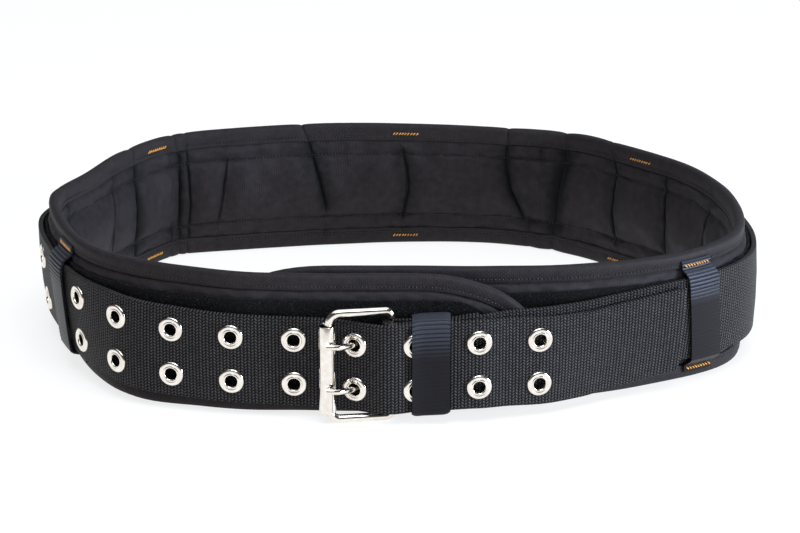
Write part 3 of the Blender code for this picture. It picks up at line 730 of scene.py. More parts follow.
def makeCeiling():
    # dim room round a white ceiling: polished metal shows the dark between the floor and the ceiling
    world = bpy.data.worlds.new("whiteCeiling")
    bpy.context.scene.world = world
    world.use_nodes = True
    coordinates = addNode(world, "ShaderNodeTexCoord")
    parts = addNode(world, "ShaderNodeSeparateXYZ", {0: coordinates.outputs["Generated"]})
    upward = mathNode(world, "MULTIPLY_ADD", parts.outputs[2], 0.5, 0.5)
    ramp = addNode(world, "ShaderNodeValToRGB", {"Fac": upward})
    elements = ramp.color_ramp.elements
    while len(elements) < len(studio["sky"]):
        elements.new(0.5)
    for element, (position, level) in zip(elements, studio["sky"]):
        element.position = position
        warm = studio["skyWarm"] if position < studio["skyWarmTo"] else studio["skyCool"]
        element.color = (level * (1 + warm), level, level * (1 - warm), 1)
    background = world.node_tree.nodes["Background"]
    link(world, ramp.outputs["Color"], background.inputs["Color"])
    background.inputs["Strength"].default_value = studio["worldStrength"]


liningNylon = makeLiningNylon()
bindingTwill = makeBindingTwill()
hookPile = makeHookPile("blackPile", "#040404", "#161517")
pileFibre = makeHookPile("blackPileFibre", "#131214", "#4c4a4e")
webbingNylon = makeWebbingNylon()
loopTape = makeRibbedTape("ribbedTape", tape["loopWornAndHighlit"])
keeperTape = makeRibbedTape("keeperTape", tape["keeperWornAndHighlit"])
blackThread = makeThread("blackThread", "#020203", "#0a0a0b")
orangeThread = makeThread("orangeThread", "#bd6c12", "#f6b650")
nickelPlate = makeNickelPlate()
makeCeiling()

deselectAll()
bpy.ops.mesh.primitive_plane_add(size=studio["floorSize"])
floor = bpy.context.object
floor.name = "studioFloor"
floor.data.materials.append(makeFloorAcrylic())
print("materials made")


# Padded liner: quilted lining inside, a raised roll outside, puffed by a cloth simulation

quilt = {
    "outerMid": (4.5, 4.5, 4.5),
    # inset from the edge, out from the middle surface in mm, how free it is to puff
    "outer": ((17.5, 4.35, 0), (16.0, 4.35, 0.2), (14.6, 4.6, 0.5), (13.0, 4.75, 0.7), (11.3, 4.4, 0.6),
              (10.0, 3.3, 0.3), (9.2, 1.8, 0), (8.4, 1.45, 0), (2.4, 1.4, 0), (1.4, 0.9, 0)),
    "inner": ((1.4, 0.9, 0), (2.4, 1.4, 0), (9.9, 1.5, 0), (10.7, 2.0, 0.2), (11.6, 3.0, 0.7),
              (13.0, 3.7, 1), (14.8, 4.1, 1), (16.7, 3.8, 1), (18.3, 3.1, 0.8), (19.2, 2.5, 0.3),
              (19.6, 2.2, 0), (20.0, 2.5, 0.3), (21.0, 3.5, 0.8), (23.0, 4.6, 1)),
    "innerMid": (5.6, 6.2, 6.4, 6.45),
    "flat": 1.5,
    "creaseDepth": 0.92,
    "freeOver": 20 * mm,
    "puffCap": 2.0 * mm,
    "frames": 18,
    "cloth": {
        "vertex_group_mass": "held",
        "pin_stiffness": 2.0,
        "quality": 5,
        "mass": 0.15,
        "tension_stiffness": 25,
        "compression_stiffness": 25,
        "shear_stiffness": 8,
        "bending_stiffness": 0.15,
        "air_damping": 3,
        "use_pressure": True,
        "uniform_pressure_force": 6.5,
        "shrink_min": -0.035,
    },
}


def innerOut(half, distance, deep):
    # the wearer's side, drawn in at a crease and pressed where the ends lap
    pressed = pad["lapPress"] * smoothStep((pad["lapNone"] + pad["pressPast"] - distance) / pad["pressOver"])
    return quilt["flat"] + (half - quilt["flat"]) * (1 - quilt["creaseDepth"] * deep) * (1 - pressed)


def halfRing(row, upper):
    # from the outer face's middle over the edge to the inner one's, and how free and creased each point is
    (edgeDistance, edgeHeight), inward, mid = row
    edge, middle = Vector((edgeDistance, edgeHeight)), Vector((mid, midHeight))
    shoulder, seam = edge + inward * quilt["outer"][0][0] * mm, edge + inward * quilt["inner"][-1][0] * mm
    stations = [(middle.lerp(shoulder, k / 3), out, 0) for k, out in enumerate(quilt["outerMid"])]
    stations += [(edge + inward * inset * mm, out, free) for inset, out, free in quilt["outer"]]
    stations += [(edge + inward * inset * mm, -out, free) for inset, out, free in quilt["inner"]]
    stations += [(seam.lerp(middle, k / 4), -out, 1) for k, out in enumerate(quilt["innerMid"], 1)]
    lapped = smoothStep((mid - pad["lapNone"]) / quilt["freeOver"])
    points, shares = [], []
    for (distance, height), out, free in stations:
        height = height if upper else pad["height"] - height
        distance = warped(distance, height)
        deep = 0.0
        if out < 0:
            deep = creaseAt(distance, height)
            out = -innerOut(-out, distance, deep)
            free *= lapped * (1 - deep) ** 2
        points.append(placeRound(distance, height, out * mm + lapOut(distance)))
        shares.append((free, deep))
    return points, shares


def puffUp(piece, free):
    # cloth with some slack, blown out against its seams, then capped
    rest = [vert.co.copy() for vert in piece.data.vertices]
    held = piece.vertex_groups.new(name="held")
    for i, share in enumerate(free):
        held.add([i], 1 - share, "REPLACE")
    cloth = piece.modifiers.new("puff", "CLOTH")
    for setting, value in quilt["cloth"].items():
        setattr(cloth.settings, setting, value)
    cloth.settings.effector_weights.gravity = 0
    cloth.collision_settings.use_collision = False
    cloth.point_cache.frame_end = quilt["frames"]
    for step in range(1, quilt["frames"] + 1):
        bpy.context.scene.frame_set(step)
    makeActive(piece)
    bpy.ops.object.modifier_apply(modifier="puff")
    for vert, place in zip(piece.data.vertices, rest):
        moved = vert.co - place
        if moved.length > quilt["puffCap"]:
            vert.co = place + moved * (quilt["puffCap"] / moved.length)
    bpy.context.scene.frame_set(1)


def spotOf(point):
    # a point's place to a hundredth of a millimetre
    return tuple(round(c * 1e5) for c in point)


def makeLiner():
    rings, shareRings = [], []
    for row in outline:
        (upper, upperShares), (lower, lowerShares) = halfRing(row, True), halfRing(row, False)
        rings.append(upper + lower[-2:0:-1])
        shareRings.append(upperShares + lowerShares[-2:0:-1])
    count = len(rings[0])
    liner = layGrid("linerPad", len(rings) - 1, count, lambda i, j: rings[i][j],
                    (innerTip - pad["outerTip"], 2 * pad["height"]), closeRows=True)
    nearest = {}
    for ring, shareRing in zip(rings, shareRings):
        for point, pair in zip(ring, shareRing):
            nearest[spotOf(point)] = pair
    pairs = [nearest.get(spotOf(vert.co), (0.0, 0.0)) for vert in liner.data.vertices]
    shade = liner.data.attributes.new("crease", "FLOAT", "POINT")
    shade.data.foreach_set("value", [deep for free, deep in pairs])
    puffUp(liner, [free for free, deep in pairs])
    print("liner puffed,", len(pairs), "points")
    finer = liner.modifiers.new("finer", "SUBSURF")
    finer.levels = finer.render_levels = 1
    applyModifiers(liner)
    finishPiece(liner, 180, liningNylon, ["liner_pad"])


makeLiner()
print("liner made")


# Binding tape folded over the whole edge

binding = {
    # inset from the edge and out from the middle surface, in mm
    "profile": ((8.5, 2.1), (8.2, 2.5), (7.4, 2.6), (6.6, 2.35), (5.6, 2.65), (4.0, 2.8), (2.2, 2.75),
                (1.0, 2.4), (0.6, 1.7), (0.42, 0.8), (0.4, 0.0), (0.42, -0.8), (0.6, -1.7), (1.0, -2.4),
                (2.4, -2.75), (4.6, -2.8), (6.2, -2.7), (7.4, -2.4), (8.3, -2.3), (9.1, -2.55),
                (9.8, -2.5), (10.1, -2.1)),
    "flatWidth": 23 * mm,
    "thickness": 0.8 * mm,
    "creaseNotch": 0.9,
    "creasePinch": 0.5,
    "ripple": 0.12 * mm,
    "rippleLength": 7 * mm,
    "uneven": 0.25 * mm,
    "unevenScale": 40,
}


def makeBinding():
    rows = [(row, True) for row in outline] + [(row, False) for row in reversed(outline[1:-1])]
    profile = binding["profile"]

    def placeAt(i, j):
        row, upper = rows[i]
        inset, out = profile[j]
        deep = creaseOn(row, inset, upper)
        inset += binding["creaseNotch"] * deep
        out *= 1 - binding["creasePinch"] * deep
        distance = row[0][0]
        seed = Vector((distance * binding["unevenScale"], 3.0 if upper else 9.0, inset * 0.05))
        ripple = binding["ripple"] * math.sin(distance / binding["rippleLength"]) * (1 if upper else -1)
        ripple += binding["uneven"] * noise.noise(seed)
        return edgePoint(row, inset * mm, out * mm + ripple * (1 if out > 0 else -1), upper)

    length = 2 * (innerTip - pad["outerTip"])
    folded = layGrid("edgeBinding", len(rows), len(profile) - 1, placeAt, (length, binding["flatWidth"]),
                     closeColumns=True)
    thicken(folded, binding["thickness"])
    finishPiece(folded, 50, bindingTwill, ["edge_binding_upper", "edge_binding_lower"])


makeBinding()
print("binding made")


# Stitches

stitch = {
    "length": 1.45 * mm,
    "radius": 0.5 * mm,
    "pitch": 2.1 * mm,
    "turn": 0.12,
    "sunk": 0.3,
    # name, inset from the edge, out from the middle surface in mm, and outer (1) or inner (-1) face
    "seams": (("bindingStitchesOuter", 6.6, 2.8, 1), ("bindingStitchesInner", 8.0, 2.75, -1),
              ("channelStitches", 19.6, 2.4, -1)),
}


def stitchTemplate():
    deselectAll()
    bpy.ops.mesh.primitive_uv_sphere_add(segments=6, ring_count=4, radius=1)
    template = bpy.context.object
    template.name = "stitch"
    for vert in template.data.vertices:
        x, y, z = vert.co
        vert.co = (z * stitch["length"] / 2, x * stitch["radius"], y * stitch["radius"])
    return template


def seamPlaces(inset, out, side):
    # stitches along the liner's edge, at an inset from it
    places = []
    pitch = stitch["pitch"]
    for upper in (True, False):
        line, away = [], []
        for row in outline:
            sunk = 1 - stitch["sunk"] * creaseOn(row, inset, upper)
            line.append(edgePoint(row, inset * mm, out * mm * side * sunk, upper))
            away.append((edgePoint(row, inset * mm, (out + 1) * mm * side, upper) - line[-1]).normalized())
        runs = runsAlong(line)
        for k in range(int(runs[-1] / pitch)):
            i, share = spanAt(runs, k * pitch)
            here = line[i - 1].lerp(line[i], share)
            places.append(standAt(here, line[i] - line[i - 1], away[i], stitch["turn"]))
    return places


def makeStitches():
    template = stitchTemplate()
    for name, *seam in stitch["seams"]:
        piece = copiesOf(name, template, seamPlaces(*seam))
        finishPiece(piece, 60, blackThread)
    bpy.data.objects.remove(template)


makeStitches()
print("stitches made")


# Hook-and-loop strip: a backing with a ragged pile of fibres

pile = {
    "low": 13.5 * mm,
    "high": 66.5 * mm,
    "inner": 5.0 * mm,
    "thickness": 0.9 * mm,
    "endInset": 26 * mm,
    "round": 11 * mm,
    "roundOver": 20 * mm,
    "step": 2.6 * mm,
    "rows": 18,
    "ragged": 0.5 * mm,
    "raggedScale": 420,
    "rough": 0.25 * mm,
    "roughScale": 500,
    "fibres": 26000,
    "fibreLength": 1.7 * mm,
    "fibreWidth": 0.28 * mm,
    "fibresFrom": 42 * mm,
    "fibresPast": 0.4 * mm,
    # share of the fibre's length aside and out
    "tip": (0.8, 0.6),
    "bend": (0.25, 0.55),
}
stripFirst = pad["outerTip"] + pile["endInset"]
stripLast = innerTip - pile["endInset"]


def stripInset(distance):
    fromEnd = min(distance - stripFirst, stripLast - distance, pile["roundOver"])
    return pile["round"] * (1 - fromEnd / pile["roundOver"]) ** 2


def makePile():
    length, rows = stripLast - stripFirst, pile["rows"]
    columns = round(length / pile["step"])

    def placeAt(i, j):
        distance = stripFirst + length * i / columns
        inset = stripInset(distance)
        ragged = pile["ragged"] * noise.noise(Vector((distance * pile["raggedScale"], 0, 0)))
        low, high = pile["low"] + inset, pile["high"] - inset + ragged
        height = low + (high - low) * j / rows
        scale = pile["roughScale"]
        rough = pile["rough"] * noise.noise(Vector((distance * scale, height * scale, 1)))
        return placeRound(distance, height, pile["inner"] + lapOut(distance) + pile["thickness"] / 2 + rough)

    backing = layGrid("hookStrip", columns, rows, placeAt, (length, pile["high"] - pile["low"]))
    thicken(backing, pile["thickness"])
    finishPiece(backing, 60, hookPile, ["hook_strip"])


def makeFibres():
    verts, faces = [], []
    for _ in range(pile["fibres"]):
        distance = random.uniform(stripFirst, stripLast)
        inset = stripInset(distance)
        height = random.uniform(max(pile["fibresFrom"], pile["low"] + inset),
                                pile["high"] - inset + pile["fibresPast"])
        out = pile["inner"] + lapOut(distance) + pile["thickness"]
        root = placeRound(distance, height, out)
        lean = random.uniform(-1, 1), random.uniform(-1, 1)
        reach = pile["fibreLength"] * random.uniform(0.5, 1)
        tip, bend = [placeRound(distance + lean[0] * reach * aside, height + lean[1] * reach * aside,
                                out + reach * away) for aside, away in (pile["tip"], pile["bend"])]
        side = Vector((lean[1], lean[0], 0.6)).cross(tip - root).normalized() * pile["fibreWidth"] / 2
        first = len(verts)
        verts.extend((root - side, root + side, bend + side, bend - side, tip))
        faces.append((first, first + 1, first + 2, first + 3))
        faces.append((first + 3, first + 2, first + 4))
    finishPiece(meshPiece("hookPileFibres", verts, faces), 0, pileFibre)


makePile()
makeFibres()
print("pile made")


# Webbing: its path in plan from the folded end round the bar, round the waist, and on to the tail's end

web = {
    "width": 50.8 * mm,
    "thickness": 2.8 * mm,
    "cup": 0.9 * mm,
    "foldLength": 42 * mm,
    "barRound": 4.5 * mm,
    "barOut": 24.85 * mm,
    "barRadius": 2.0 * mm,
    "prongGap": 0.25 * mm,
    "step": 2.4 * mm,
    "foldSteps": 13,
    "barSteps": 16,
    "mainFrom": 2 * mm,
    "columnStep": 2.1 * mm,
    "rows": 26,
    "leanFrom": 50 * mm,
    "leanOver": 60 * mm,
    "cupFrom": 40 * mm,
    "cupOver": 50 * mm,
    "holeRadius": 4.7 * mm,
    "holePull": 1.35,
    "slotWidth": 5.0 * mm,
    "slotReach": 6.5 * mm,
    "edgeRound": 1.15 * mm,
}

# distance past the front centre (the tail's rows add a whole girth), out from the waist curve and
# mid height, in mm
mainBelt = (
    (-4.5, 28.5, 31.7), (14, 24.8, 32.3), (27, 24.5, 33), (40, 24.4, 35.2), (57, 19.6, 35.7),
    (76, 17.2, 35.9), (96, 12.4, 36.3), (117, 9.6, 38.2), (145, 8.9, 40.6), (175, 9.3, 41.4),
    (210, 9.8, 41.2), (300, 9, 40), (540, 8.9, 40), (700, 9.1, 40), (815, 10, 40), (880, 9.4, 39),
)
tail = (
    (-160, 9.8, 37.2), (-130, 13.5, 34.8), (-100, 19.5, 33.6), (-76, 21.4, 33), (-55, 21.3, 32.5),
    (-39, 21.6, 32.2), (-24, 25.8, 31.7), (-4.5, 32.6, 32.2), (14, 29.1, 33), (24, 28.9, 33.3),
    (40, 28.6, 34.2), (57, 24.2, 33.4), (77, 21.7, 32.3), (97, 16.9, 31.9), (117, 13.6, 33.9),
    (138, 12.9, 36.3), (153, 14.6, 38.3),
)
tailRows = [[value * mm for value in row] for row in tail]
tailStart, tailEnd = girth + tailRows[0][0], girth + tailRows[-1][0]
mainRows = [[value * mm for value in row] for row in mainBelt] + [[tailStart, *tailRows[0][1:]]]
mainOut, mainMid = [monotone([(row[0], row[k]) for row in mainRows]) for k in (1, 2)]
tailOut, tailMid = [monotone([(row[0], row[k]) for row in tailRows]) for k in (1, 2)]


def webOut(past):
    return mainOut(past) if past < tailStart else tailOut(past - girth)


def webMid(past):
    return mainMid(past) if past < tailStart else tailMid(past - girth)


def planAt(past, out):
    point, _, outward, _ = waistFrame(-past)
    return point + outward * out


def webbingPath():
    foldOut = web["barOut"] - (web["barRadius"] + web["prongGap"] + web["thickness"] / 2)
    rows = []
    for k in range(web["foldSteps"] + 1):
        past = web["foldLength"] * (1 - k / web["foldSteps"])
        rows.append((planAt(past, foldOut), mainMid(past), past))
    bar, along, outward, _ = waistFrame(web["barRound"])
    centre = bar + outward * web["barOut"]
    radius = web["barOut"] - foldOut
    for k in range(web["barSteps"] + 1):
        turn = math.pi * k / web["barSteps"]
        point = centre + along * radius * math.sin(turn) - outward * radius * math.cos(turn)
        rows.append((point, mainMid(-web["barRound"]), -web["barRound"]))
    first = web["mainFrom"]
    count = round((tailEnd - first) / web["step"])
    for k in range(count + 1):
        past = first + (tailEnd - first) * k / count
        rows.append((planAt(past, webOut(past)), webMid(past), past))
    return rows


webRows = webbingPath()
webRun = runsAlong([row[0] for row in webRows])
webLength = webRun[-1]
barFirst = web["foldSteps"] + 1
barRuns = webRun[barFirst], webRun[barFirst + web["barSteps"]]


def webNormals():
    points = [row[0] for row in webRows]
    normals = []
    for i, here in enumerate(points):
        before = (here - points[max(i - 1, 0)]).normalized()
        after = (points[min(i + 1, len(points) - 1)] - here).normalized()
        way = (before + after).normalized()
        normals.append(Vector((way.y, -way.x)))
    return normals


webNormal = webNormals()


def webPlace(run, across, out):
    # a point at a run from the folded end, across from the middle, and out from the mid surface
    i, share = spanAt(webRun, run)
    plan = webRows[i - 1][0].lerp(webRows[i][0], share)
    normal = webNormal[i - 1].lerp(webNormal[i], share)
    mid, past = [webRows[i - 1][k] + (webRows[i][k] - webRows[i - 1][k]) * share for k in (1, 2)]
    fromBuckle = min(abs(past), abs(past - girth))
    lean = waistFrame(-past)[3] * smoothStep((fromBuckle - web["leanFrom"]) / web["leanOver"])
    lean *= (mid + across - midHeight) / pad["height"]
    offMid = max(abs(across) - web["width"] / 6, 0.0) / (web["width"] / 3)
    cup = web["cup"] * smoothStep((fromBuckle - web["cupFrom"]) / web["cupOver"]) * offMid
    plan = plan + normal * (out - cup + lean)
    return Vector((plan.x, plan.y, mid + across)) + originShift


# Eyelets: pairs counted from the tail's end

eyelet = {
    "pairs": 11,
    "first": 87.0 * mm,
    "pitch": 34.1 * mm,
    "row": 12.8 * mm,
    "prongPair": 4,
    "sides": 40,
    # radius and height of a flange, in mm
    "profile": ((3.25, 0.9), (3.3, 1.7), (3.5, 2.25), (3.9, 2.5), (4.35, 2.42), (4.6, 2.2), (4.85, 2.25),
                (5.3, 2.42), (5.9, 2.4), (6.5, 2.2), (6.9, 1.8), (7.0, 1.35)),
    "searchStep": 0.1 * mm,
    "searchSteps": 40,
    "reach": 3 * mm,
}
eyeletRows = ("Upper", eyelet["row"]), ("Lower", -eyelet["row"])


def eyeletRun(pair):
    # the part's own path has fewer stations and is a hair shorter, so the node's place sets the run
    low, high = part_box(f"grommet_{pair:02d}_upper")
    target = (low + high) / 2
    guess = webLength - eyelet["first"] - eyelet["pitch"] * (pair - 1)
    steps = eyelet["searchSteps"]
    tries = [guess + k * eyelet["searchStep"] for k in range(-steps, steps + 1)]
    return min(tries, key=lambda run: (webPlace(run, eyelet["row"], 0) - target).length)


eyeletRuns = {pair: eyeletRun(pair) for pair in range(1, eyelet["pairs"] + 1)}
eyeletSpots = [(run, across) for run in eyeletRuns.values() for _, across in eyeletRows]


def makeWebbing():
    # a flat slab first: holes and slots out, thickness and rounded selvedges, then laid along the path
    columns, rows = round(webLength / web["columnStep"]), web["rows"]
    belt = layGrid("beltWebbing", columns, rows,
                   lambda i, j: Vector((webLength * i / columns, web["width"] * (j / rows - 0.5), 0)),
                   (webLength, web["width"]))
    makeActive(belt)
    bm = bmesh.new()
    bm.from_mesh(belt.data)
    holes = [face for face in bm.faces if inHole(face.calc_center_median())]
    bmesh.ops.delete(bm, geom=holes, context="FACES")
    for vert in bm.verts:
        for run, across in eyeletSpots:
            off = vert.co.xy - Vector((run, across))
            if off.length < web["holeRadius"] * web["holePull"] and vert.is_boundary:
                vert.co.xy = Vector((run, across)) + off.normalized() * web["holeRadius"]
    bm.to_mesh(belt.data)
    bm.free()
    thicken(belt, web["thickness"])
    bevelEdges(belt, web["edgeRound"], 3)
    for vert in belt.data.vertices:
        vert.co = webPlace(*vert.co)
    finishPiece(belt, 50, webbingNylon, ["belt_webbing"])


def inHole(centre):
    for run, across in eyeletSpots:
        if (centre.xy - Vector((run, across))).length < web["holeRadius"]:
            return True
    inRun = barRuns[0] - web["slotReach"] < centre.x < barRuns[1] + web["slotReach"]
    return inRun and abs(abs(centre.y) - eyelet["row"]) < web["slotWidth"] / 2


def makeEyelets():
    # both flanges with their rolled lips turned once, then set in each hole
    half = [(x * mm, z * mm) for x, z in eyelet["profile"]]
    ring = half[::-1] + [(x, -z) for x, z in half]
    template = turnedPiece("eyeletTemplate", ring, 0, 2 * math.pi, eyelet["sides"], False)
    reach = eyelet["reach"]
    for pair, run in eyeletRuns.items():
        for side, across in eyeletRows:
            here = webPlace(run, across, 0)
            along = webPlace(run + reach, across, 0) - webPlace(run - reach, across, 0)
            out = (webPlace(run, across, 1 * mm) - here).normalized()
            piece = copiesOf(f"eyelet{pair:02d}{side}", template, [standAt(here, along, out)])
            finishPiece(piece, 50, nickelPlate, [f"grommet_{pair:02d}_{side.lower()}"])
    bpy.data.objects.remove(template)


makeWebbing()
print("webbing made")
makeEyelets()
print("eyelets made")


# Roller buckle

buckle = {
    "height": 33.1 * mm,
    "wireRadius": 2.3 * mm,
    "armHalf": 30.6 * mm,
    "rollerCorner": 6.0 * mm,
    "barCorner": 3.0 * mm,
    "rollerRound": 38.5 * mm,
    "rollerOut": 30.5 * mm,
    "rollerRadius": 4.6 * mm,
    "rollerBore": 3.6 * mm,
    "rollerLength": 50.0 * mm,
    "rollerDrop": 1.0 * mm,
    "rollerSlack": 0.9 * mm,
    "prongRise": 2.5 * mm,
    "rollerSeam": math.radians(3),
    "rollerSeamAt": math.radians(-52),
    "rollerLip": 0.45 * mm,
    "rollerSteps": 56,
    "cornerSteps": 12,
    "prongRadius": 1.7 * mm,
    "prongEnd": 0.4 * mm,
    "prongHook": range(-150, 61, 15),
    # along the belt and out through the hole, and along it and out from the roller, in mm
    "prongHole": ((-3.0, -3.6), (0, -2.8), (0, -1.0), (0, 2.4)),
    "prongRest": ((-7.5, -1.6), (-3.0, 0), (0.2, 0)),
    "prongRises": (0, 0, 0, 0.15, 0.7, 0.95, 1),
}
barPoint, barAlong, barOutward, _ = waistFrame(web["barRound"])
rollerPoint, _, rollerOutward, _ = waistFrame(buckle["rollerRound"])
barCentre = barPoint + barOutward * web["barOut"]
rollerCentre = rollerPoint + rollerOutward * buckle["rollerOut"]
buckleWay = (barCentre - rollerCentre).normalized()
buckleLength = (barCentre - rollerCentre).length


def bucklePlace(fromRoller, height):
    plan = rollerCentre + buckleWay * fromRoller
    return Vector((plan.x, plan.y, buckle["height"] + height)) + originShift


def makeFrame():
    # from the roller's bar round both corners to the slimmer bar: along, up, and share of the radius
    wide, tight, half = buckle["rollerCorner"], buckle["barCorner"], buckle["armHalf"]
    slim = web["barRadius"] / buckle["wireRadius"]
    steps = buckle["cornerSteps"]
    first, last = [], []
    for k in range(steps + 1):
        turn = math.pi / 2 * k / steps
        along, up = math.sin(turn), math.cos(turn)
        first.append((buckle["rollerSlack"] + wide - wide * up, half - wide + wide * along, 1))
        last.append((buckleLength - tight + tight * along, half - tight + tight * up,
                     1 + (slim - 1) * k / steps))
    upper = first + last
    rows = upper + [(x, -z, share) for x, z, share in reversed(upper)]
    points = [bucklePlace(x, z) for x, z, _ in rows]
    frameWire = wirePiece("buckleWire", points, buckle["wireRadius"], 6, True, [row[2] for row in rows])
    finishPiece(frameWire, 60, nickelPlate, ["buckle_frame"])


def makeRoller():
    # sheet rolled round the bar, with its seam left open a hair
    bore, outer, half = buckle["rollerBore"], buckle["rollerRadius"], buckle["rollerLength"] / 2
    lip = buckle["rollerLip"]
    end = [(bore, -half + lip), (bore + lip, -half), (outer - lip, -half),
           (outer - lip * 0.3, -half + lip * 0.3), (outer, -half + lip)]
    ring = end + [(r, -z) for r, z in reversed(end)]
    roller = turnedPiece("roller", ring, buckle["rollerSeamAt"], 2 * math.pi - buckle["rollerSeam"],
                         buckle["rollerSteps"], True)
    centre = bucklePlace(0, -buckle["rollerDrop"])
    for vert in roller.data.vertices:
        vert.co += centre
    finishPiece(roller, 40, nickelPlate, ["buckle_roller"])


def makeProngs():
    # hooked round the bar, up through an eyelet, and laid on the roller
    run = eyeletRuns[eyelet["prongPair"]]
    hook = web["barRadius"] + web["prongGap"] + buckle["prongRadius"]
    rest = buckle["rollerRadius"] + web["prongGap"] + buckle["prongRadius"]
    shift = originShift.xy
    for side, across in eyeletRows:
        hole = webPlace(run, across, 0)
        through = (webPlace(run, across, 1 * mm).xy - hole.xy).normalized()
        height = hole.z
        top = rollerCentre + shift + rollerOutward * rest
        points = []
        for degrees in buckle["prongHook"]:
            turn = math.radians(degrees)
            way = barAlong * math.sin(turn) + barOutward * math.cos(turn)
            points.append((*(barCentre + shift + way * hook), height))
        steps = [hole.xy + barAlong * a * mm + through * b * mm for a, b in buckle["prongHole"]]
        steps += [top + barAlong * a * mm + rollerOutward * b * mm for a, b in buckle["prongRest"]]
        raised = [height + buckle["prongRise"] * rise for rise in buckle["prongRises"]]
        points += rounded([Vector((*step, z)) for step, z in zip(steps, raised)], 2)
        prong = wirePiece(f"prong{side}", points, buckle["prongRadius"], 5)
        bevelEdges(prong, buckle["prongEnd"], 2)
        finishPiece(prong, 50, nickelPlate, [f"prong_{side.lower()}"])


makeFrame()
makeRoller()
makeProngs()
print("buckle made")


# Keeper ring and belt loops

def ribbed(line, run, worn):
    # a line in (out, height), with ribs that are worn low under a height
    points = []
    for k, here in enumerate(line):
        before, after = line[max(k - 1, 0)], line[min(k + 1, len(line) - 1)]
        way = (after - before).normalized()
        normal = Vector((way.y, -way.x))
        wave = math.cos(2 * math.pi * run * k / (len(line) - 1) / tape["rib"])
        fresh = smoothStep((here.y - worn) / tape["wornAndHighlitOver"])
        fresh = tape["wornShare"] + (1 - tape["wornShare"]) * fresh
        points.append(here + normal * tape["ribHeight"] * fresh * wave)
    return points


def makeKeeper():
    first, width = tape["keeperFrom"], tape["keeperTo"] - tape["keeperFrom"]
    columns, steps = tape["keeperColumns"], tape["cornerSteps"]

    def ringAt(past):
        # tilted a little, and drawn in where the tape's two edges curl
        front = tailOut(past) + tape["keeperFrontClear"]
        rise = (past - first - width / 2) * tape["keeperTilt"]
        soft = tape["keeperSoft"] * abs(2 * (past - first) / width - 1) ** 8
        back, low = tape["keeperBack"], tape["keeperLow"] + rise + soft
        high = tape["keeperHigh"] + rise - soft / 3
        line = []
        small, (deep, tall) = tape["keeperCorner"], tape["keeperBrow"]
        corners = (
            (back + small, low + small, small, small, 180),
            (front - small, low + small, small, small, 270),
            (front - deep, high - tall, deep, tall, 0),
            (back + small, high - small, small, small, 90),
        )
        for out, height, across, up, start in corners:
            for k in range(steps + 1):
                turn = math.radians(start + 90 * k / steps)
                line.append(Vector((out + across * math.cos(turn), height + up * math.sin(turn))))
        return line + [line[0].copy()]

    rings = []
    count = round(runsAlong(ringAt(first + width / 2))[-1] / tape["rib"])
    for i in range(columns + 1):
        past = first + width * i / columns
        line = ringAt(past)
        even = evenly(line, runsAlong(line)[-1] / (count * tape["pointsARib"]))
        ribs = ribbed(even, count * tape["rib"], tape["keeperWornAndHighlit"])
        rings.append([(past, p.x, p.y) for p in ribs[:-1]])
    rows = min(len(ring) for ring in rings)

    def placeAt(i, j):
        past, out, height = rings[i][j]
        plan = planAt(past, out)
        return Vector((plan.x, plan.y, height)) + originShift

    keeper = layGrid("keeper", columns, rows, placeAt, (tape["width"], count * tape["rib"]), closeRows=True)
    thicken(keeper, tape["thickness"])
    finishPiece(keeper, 60, keeperTape, ["keeper_loop"])


# name, node, round distance of the middle, and how much farther round its top is than its foot, in mm
beltLoops = (
    ("FrontLeft", "front_left", 205, 0),
    ("BackLeft", "back_left", 388.8, 6),
    ("BackCentre", "back_centre", 555.5, 0),
    ("BackRight", "back_right", 711, 18),
    ("FrontRight", "front_right", 913.5, 13),
)


def loopPlace(middle, slant, share, height, out):
    return placeRound(middle + share + slant * (height / pad["height"] - 0.5), height, out)


def makeBeltLoop(name, node, middle, slant):
    over = webOut(girth - middle) + (tape["clearEyelet"] if middle < tape["eyeletsTo"] else tape["clear"])
    low = webMid(girth - middle) - web["width"] / 2 - tape["edgeClear"]
    high = webMid(girth - middle) + web["width"] / 2 + tape["edgeClear"]
    seat = tape["seat"]
    corners = [(seat + out, tape["low"] + up) for out, up in tape["loopFoot"]]
    corners += [(over + out, low + up) for out, up in tape["loopLow"]]
    corners += [(over + out, high + up) for out, up in tape["loopHigh"]]
    corners += [(seat + out, tape["high"] - up) for out, up in reversed(tape["loopFoot"])]
    line = rounded([Vector(corner) for corner in corners], 3)
    length = runsAlong(line)[-1]
    ribs = ribbed(evenly(line, tape["step"]), length, tape["loopWornAndHighlit"])
    columns, rows = tape["loopColumns"], len(ribs) - 1

    def placeAt(i, j):
        return loopPlace(middle, slant, tape["loopWidth"] * (i / columns - 0.5), ribs[j].y, ribs[j].x)

    loop = layGrid(f"beltLoop{name}", columns, rows, placeAt, (tape["loopWidth"], length))
    thicken(loop, tape["thickness"])
    finishPiece(loop, 60, loopTape, [f"belt_loop_{node}"])


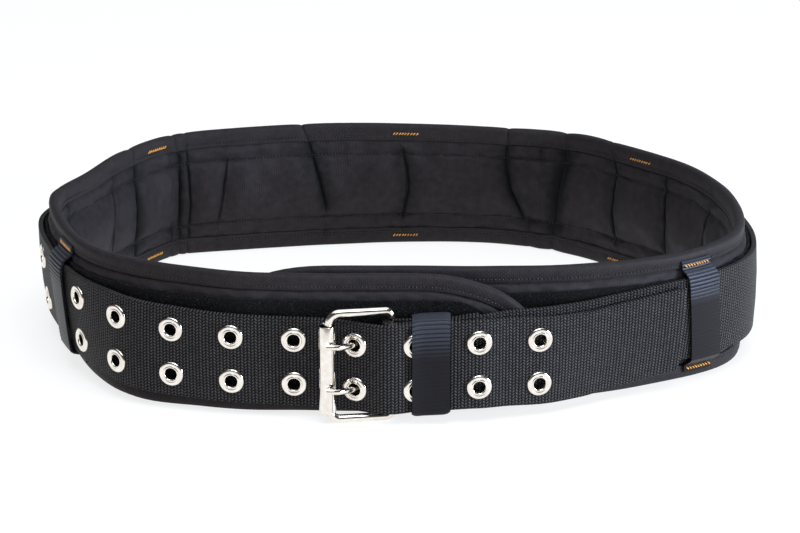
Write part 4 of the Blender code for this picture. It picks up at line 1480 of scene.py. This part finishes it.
# Bartacks: dense zigzag of orange thread over the loop's end, and the same tack coming through inside

bartack = {
    "length": 16.3 * mm,
    "height": 1.4 * mm,
    "passes": 9,
    "threadRadius": 0.4 * mm,
    "uneven": 0.2,
    "shortest": 0.8,
    # along by passes, up by half heights, and out by the depth that the ends are sunk to
    "pass": ((-0.32, -1, -1), (-0.26, -0.8, 0), (0.0, 0, 0.3), (0.26, 0.8, 0), (0.32, 1, -1)),
    "sunk": 0.9 * mm,
    "outerSeat": 4.95 * mm,
    "innerSeat": 3.05 * mm,
    "low": 7.0 * mm,
    "high": 73.0 * mm,
    "innerShift": {"low": -1.5 * mm, "high": 1.2 * mm},
    "hiddenBy": 1.2 * mm,
}


def makeBartack(name, middle, slant, height, out, replaces):
    # slanted passes of thread, each a little out of line with the last and sunk into the tape between
    points = []
    side = 1 if out > 0 else -1
    pitch = bartack["length"] / bartack["passes"]
    for k in range(bartack["passes"]):
        share = pitch * (k + 0.5) - bartack["length"] / 2
        share += random.uniform(-bartack["uneven"], bartack["uneven"]) * mm
        reach = bartack["height"] / 2 * random.uniform(bartack["shortest"], 1.0)
        for shift, level, lift in bartack["pass"]:
            lifted = out + side * bartack["sunk"] * lift
            points.append(loopPlace(middle, slant, share + pitch * shift, height + reach * level, lifted))
    tack = wirePiece(name, points, bartack["threadRadius"], 2)
    finishPiece(tack, 70, orangeThread, replaces)


makeKeeper()
for name, node, middle, slant in beltLoops:
    makeBeltLoop(name, node, middle * mm, slant * mm)
    for level in ("low", "high"):
        # raised, so that the webbing hides this one tack
        raised = bartack["hiddenBy"] if (node, level) == ("front_left", "low") else 0.0
        makeBartack(f"bartack{name}{level.title()}", middle * mm, slant * mm, bartack[level] + raised,
                    bartack["outerSeat"], [f"bartack_{node}_{level}"])
        makeBartack(f"innerTack{name}{level.title()}", middle * mm, slant * mm,
                    bartack[level] + bartack["innerShift"][level], -bartack["innerSeat"], [])
print("tape and bartacks made")


# Nothing left selected at the end

deselectAll()
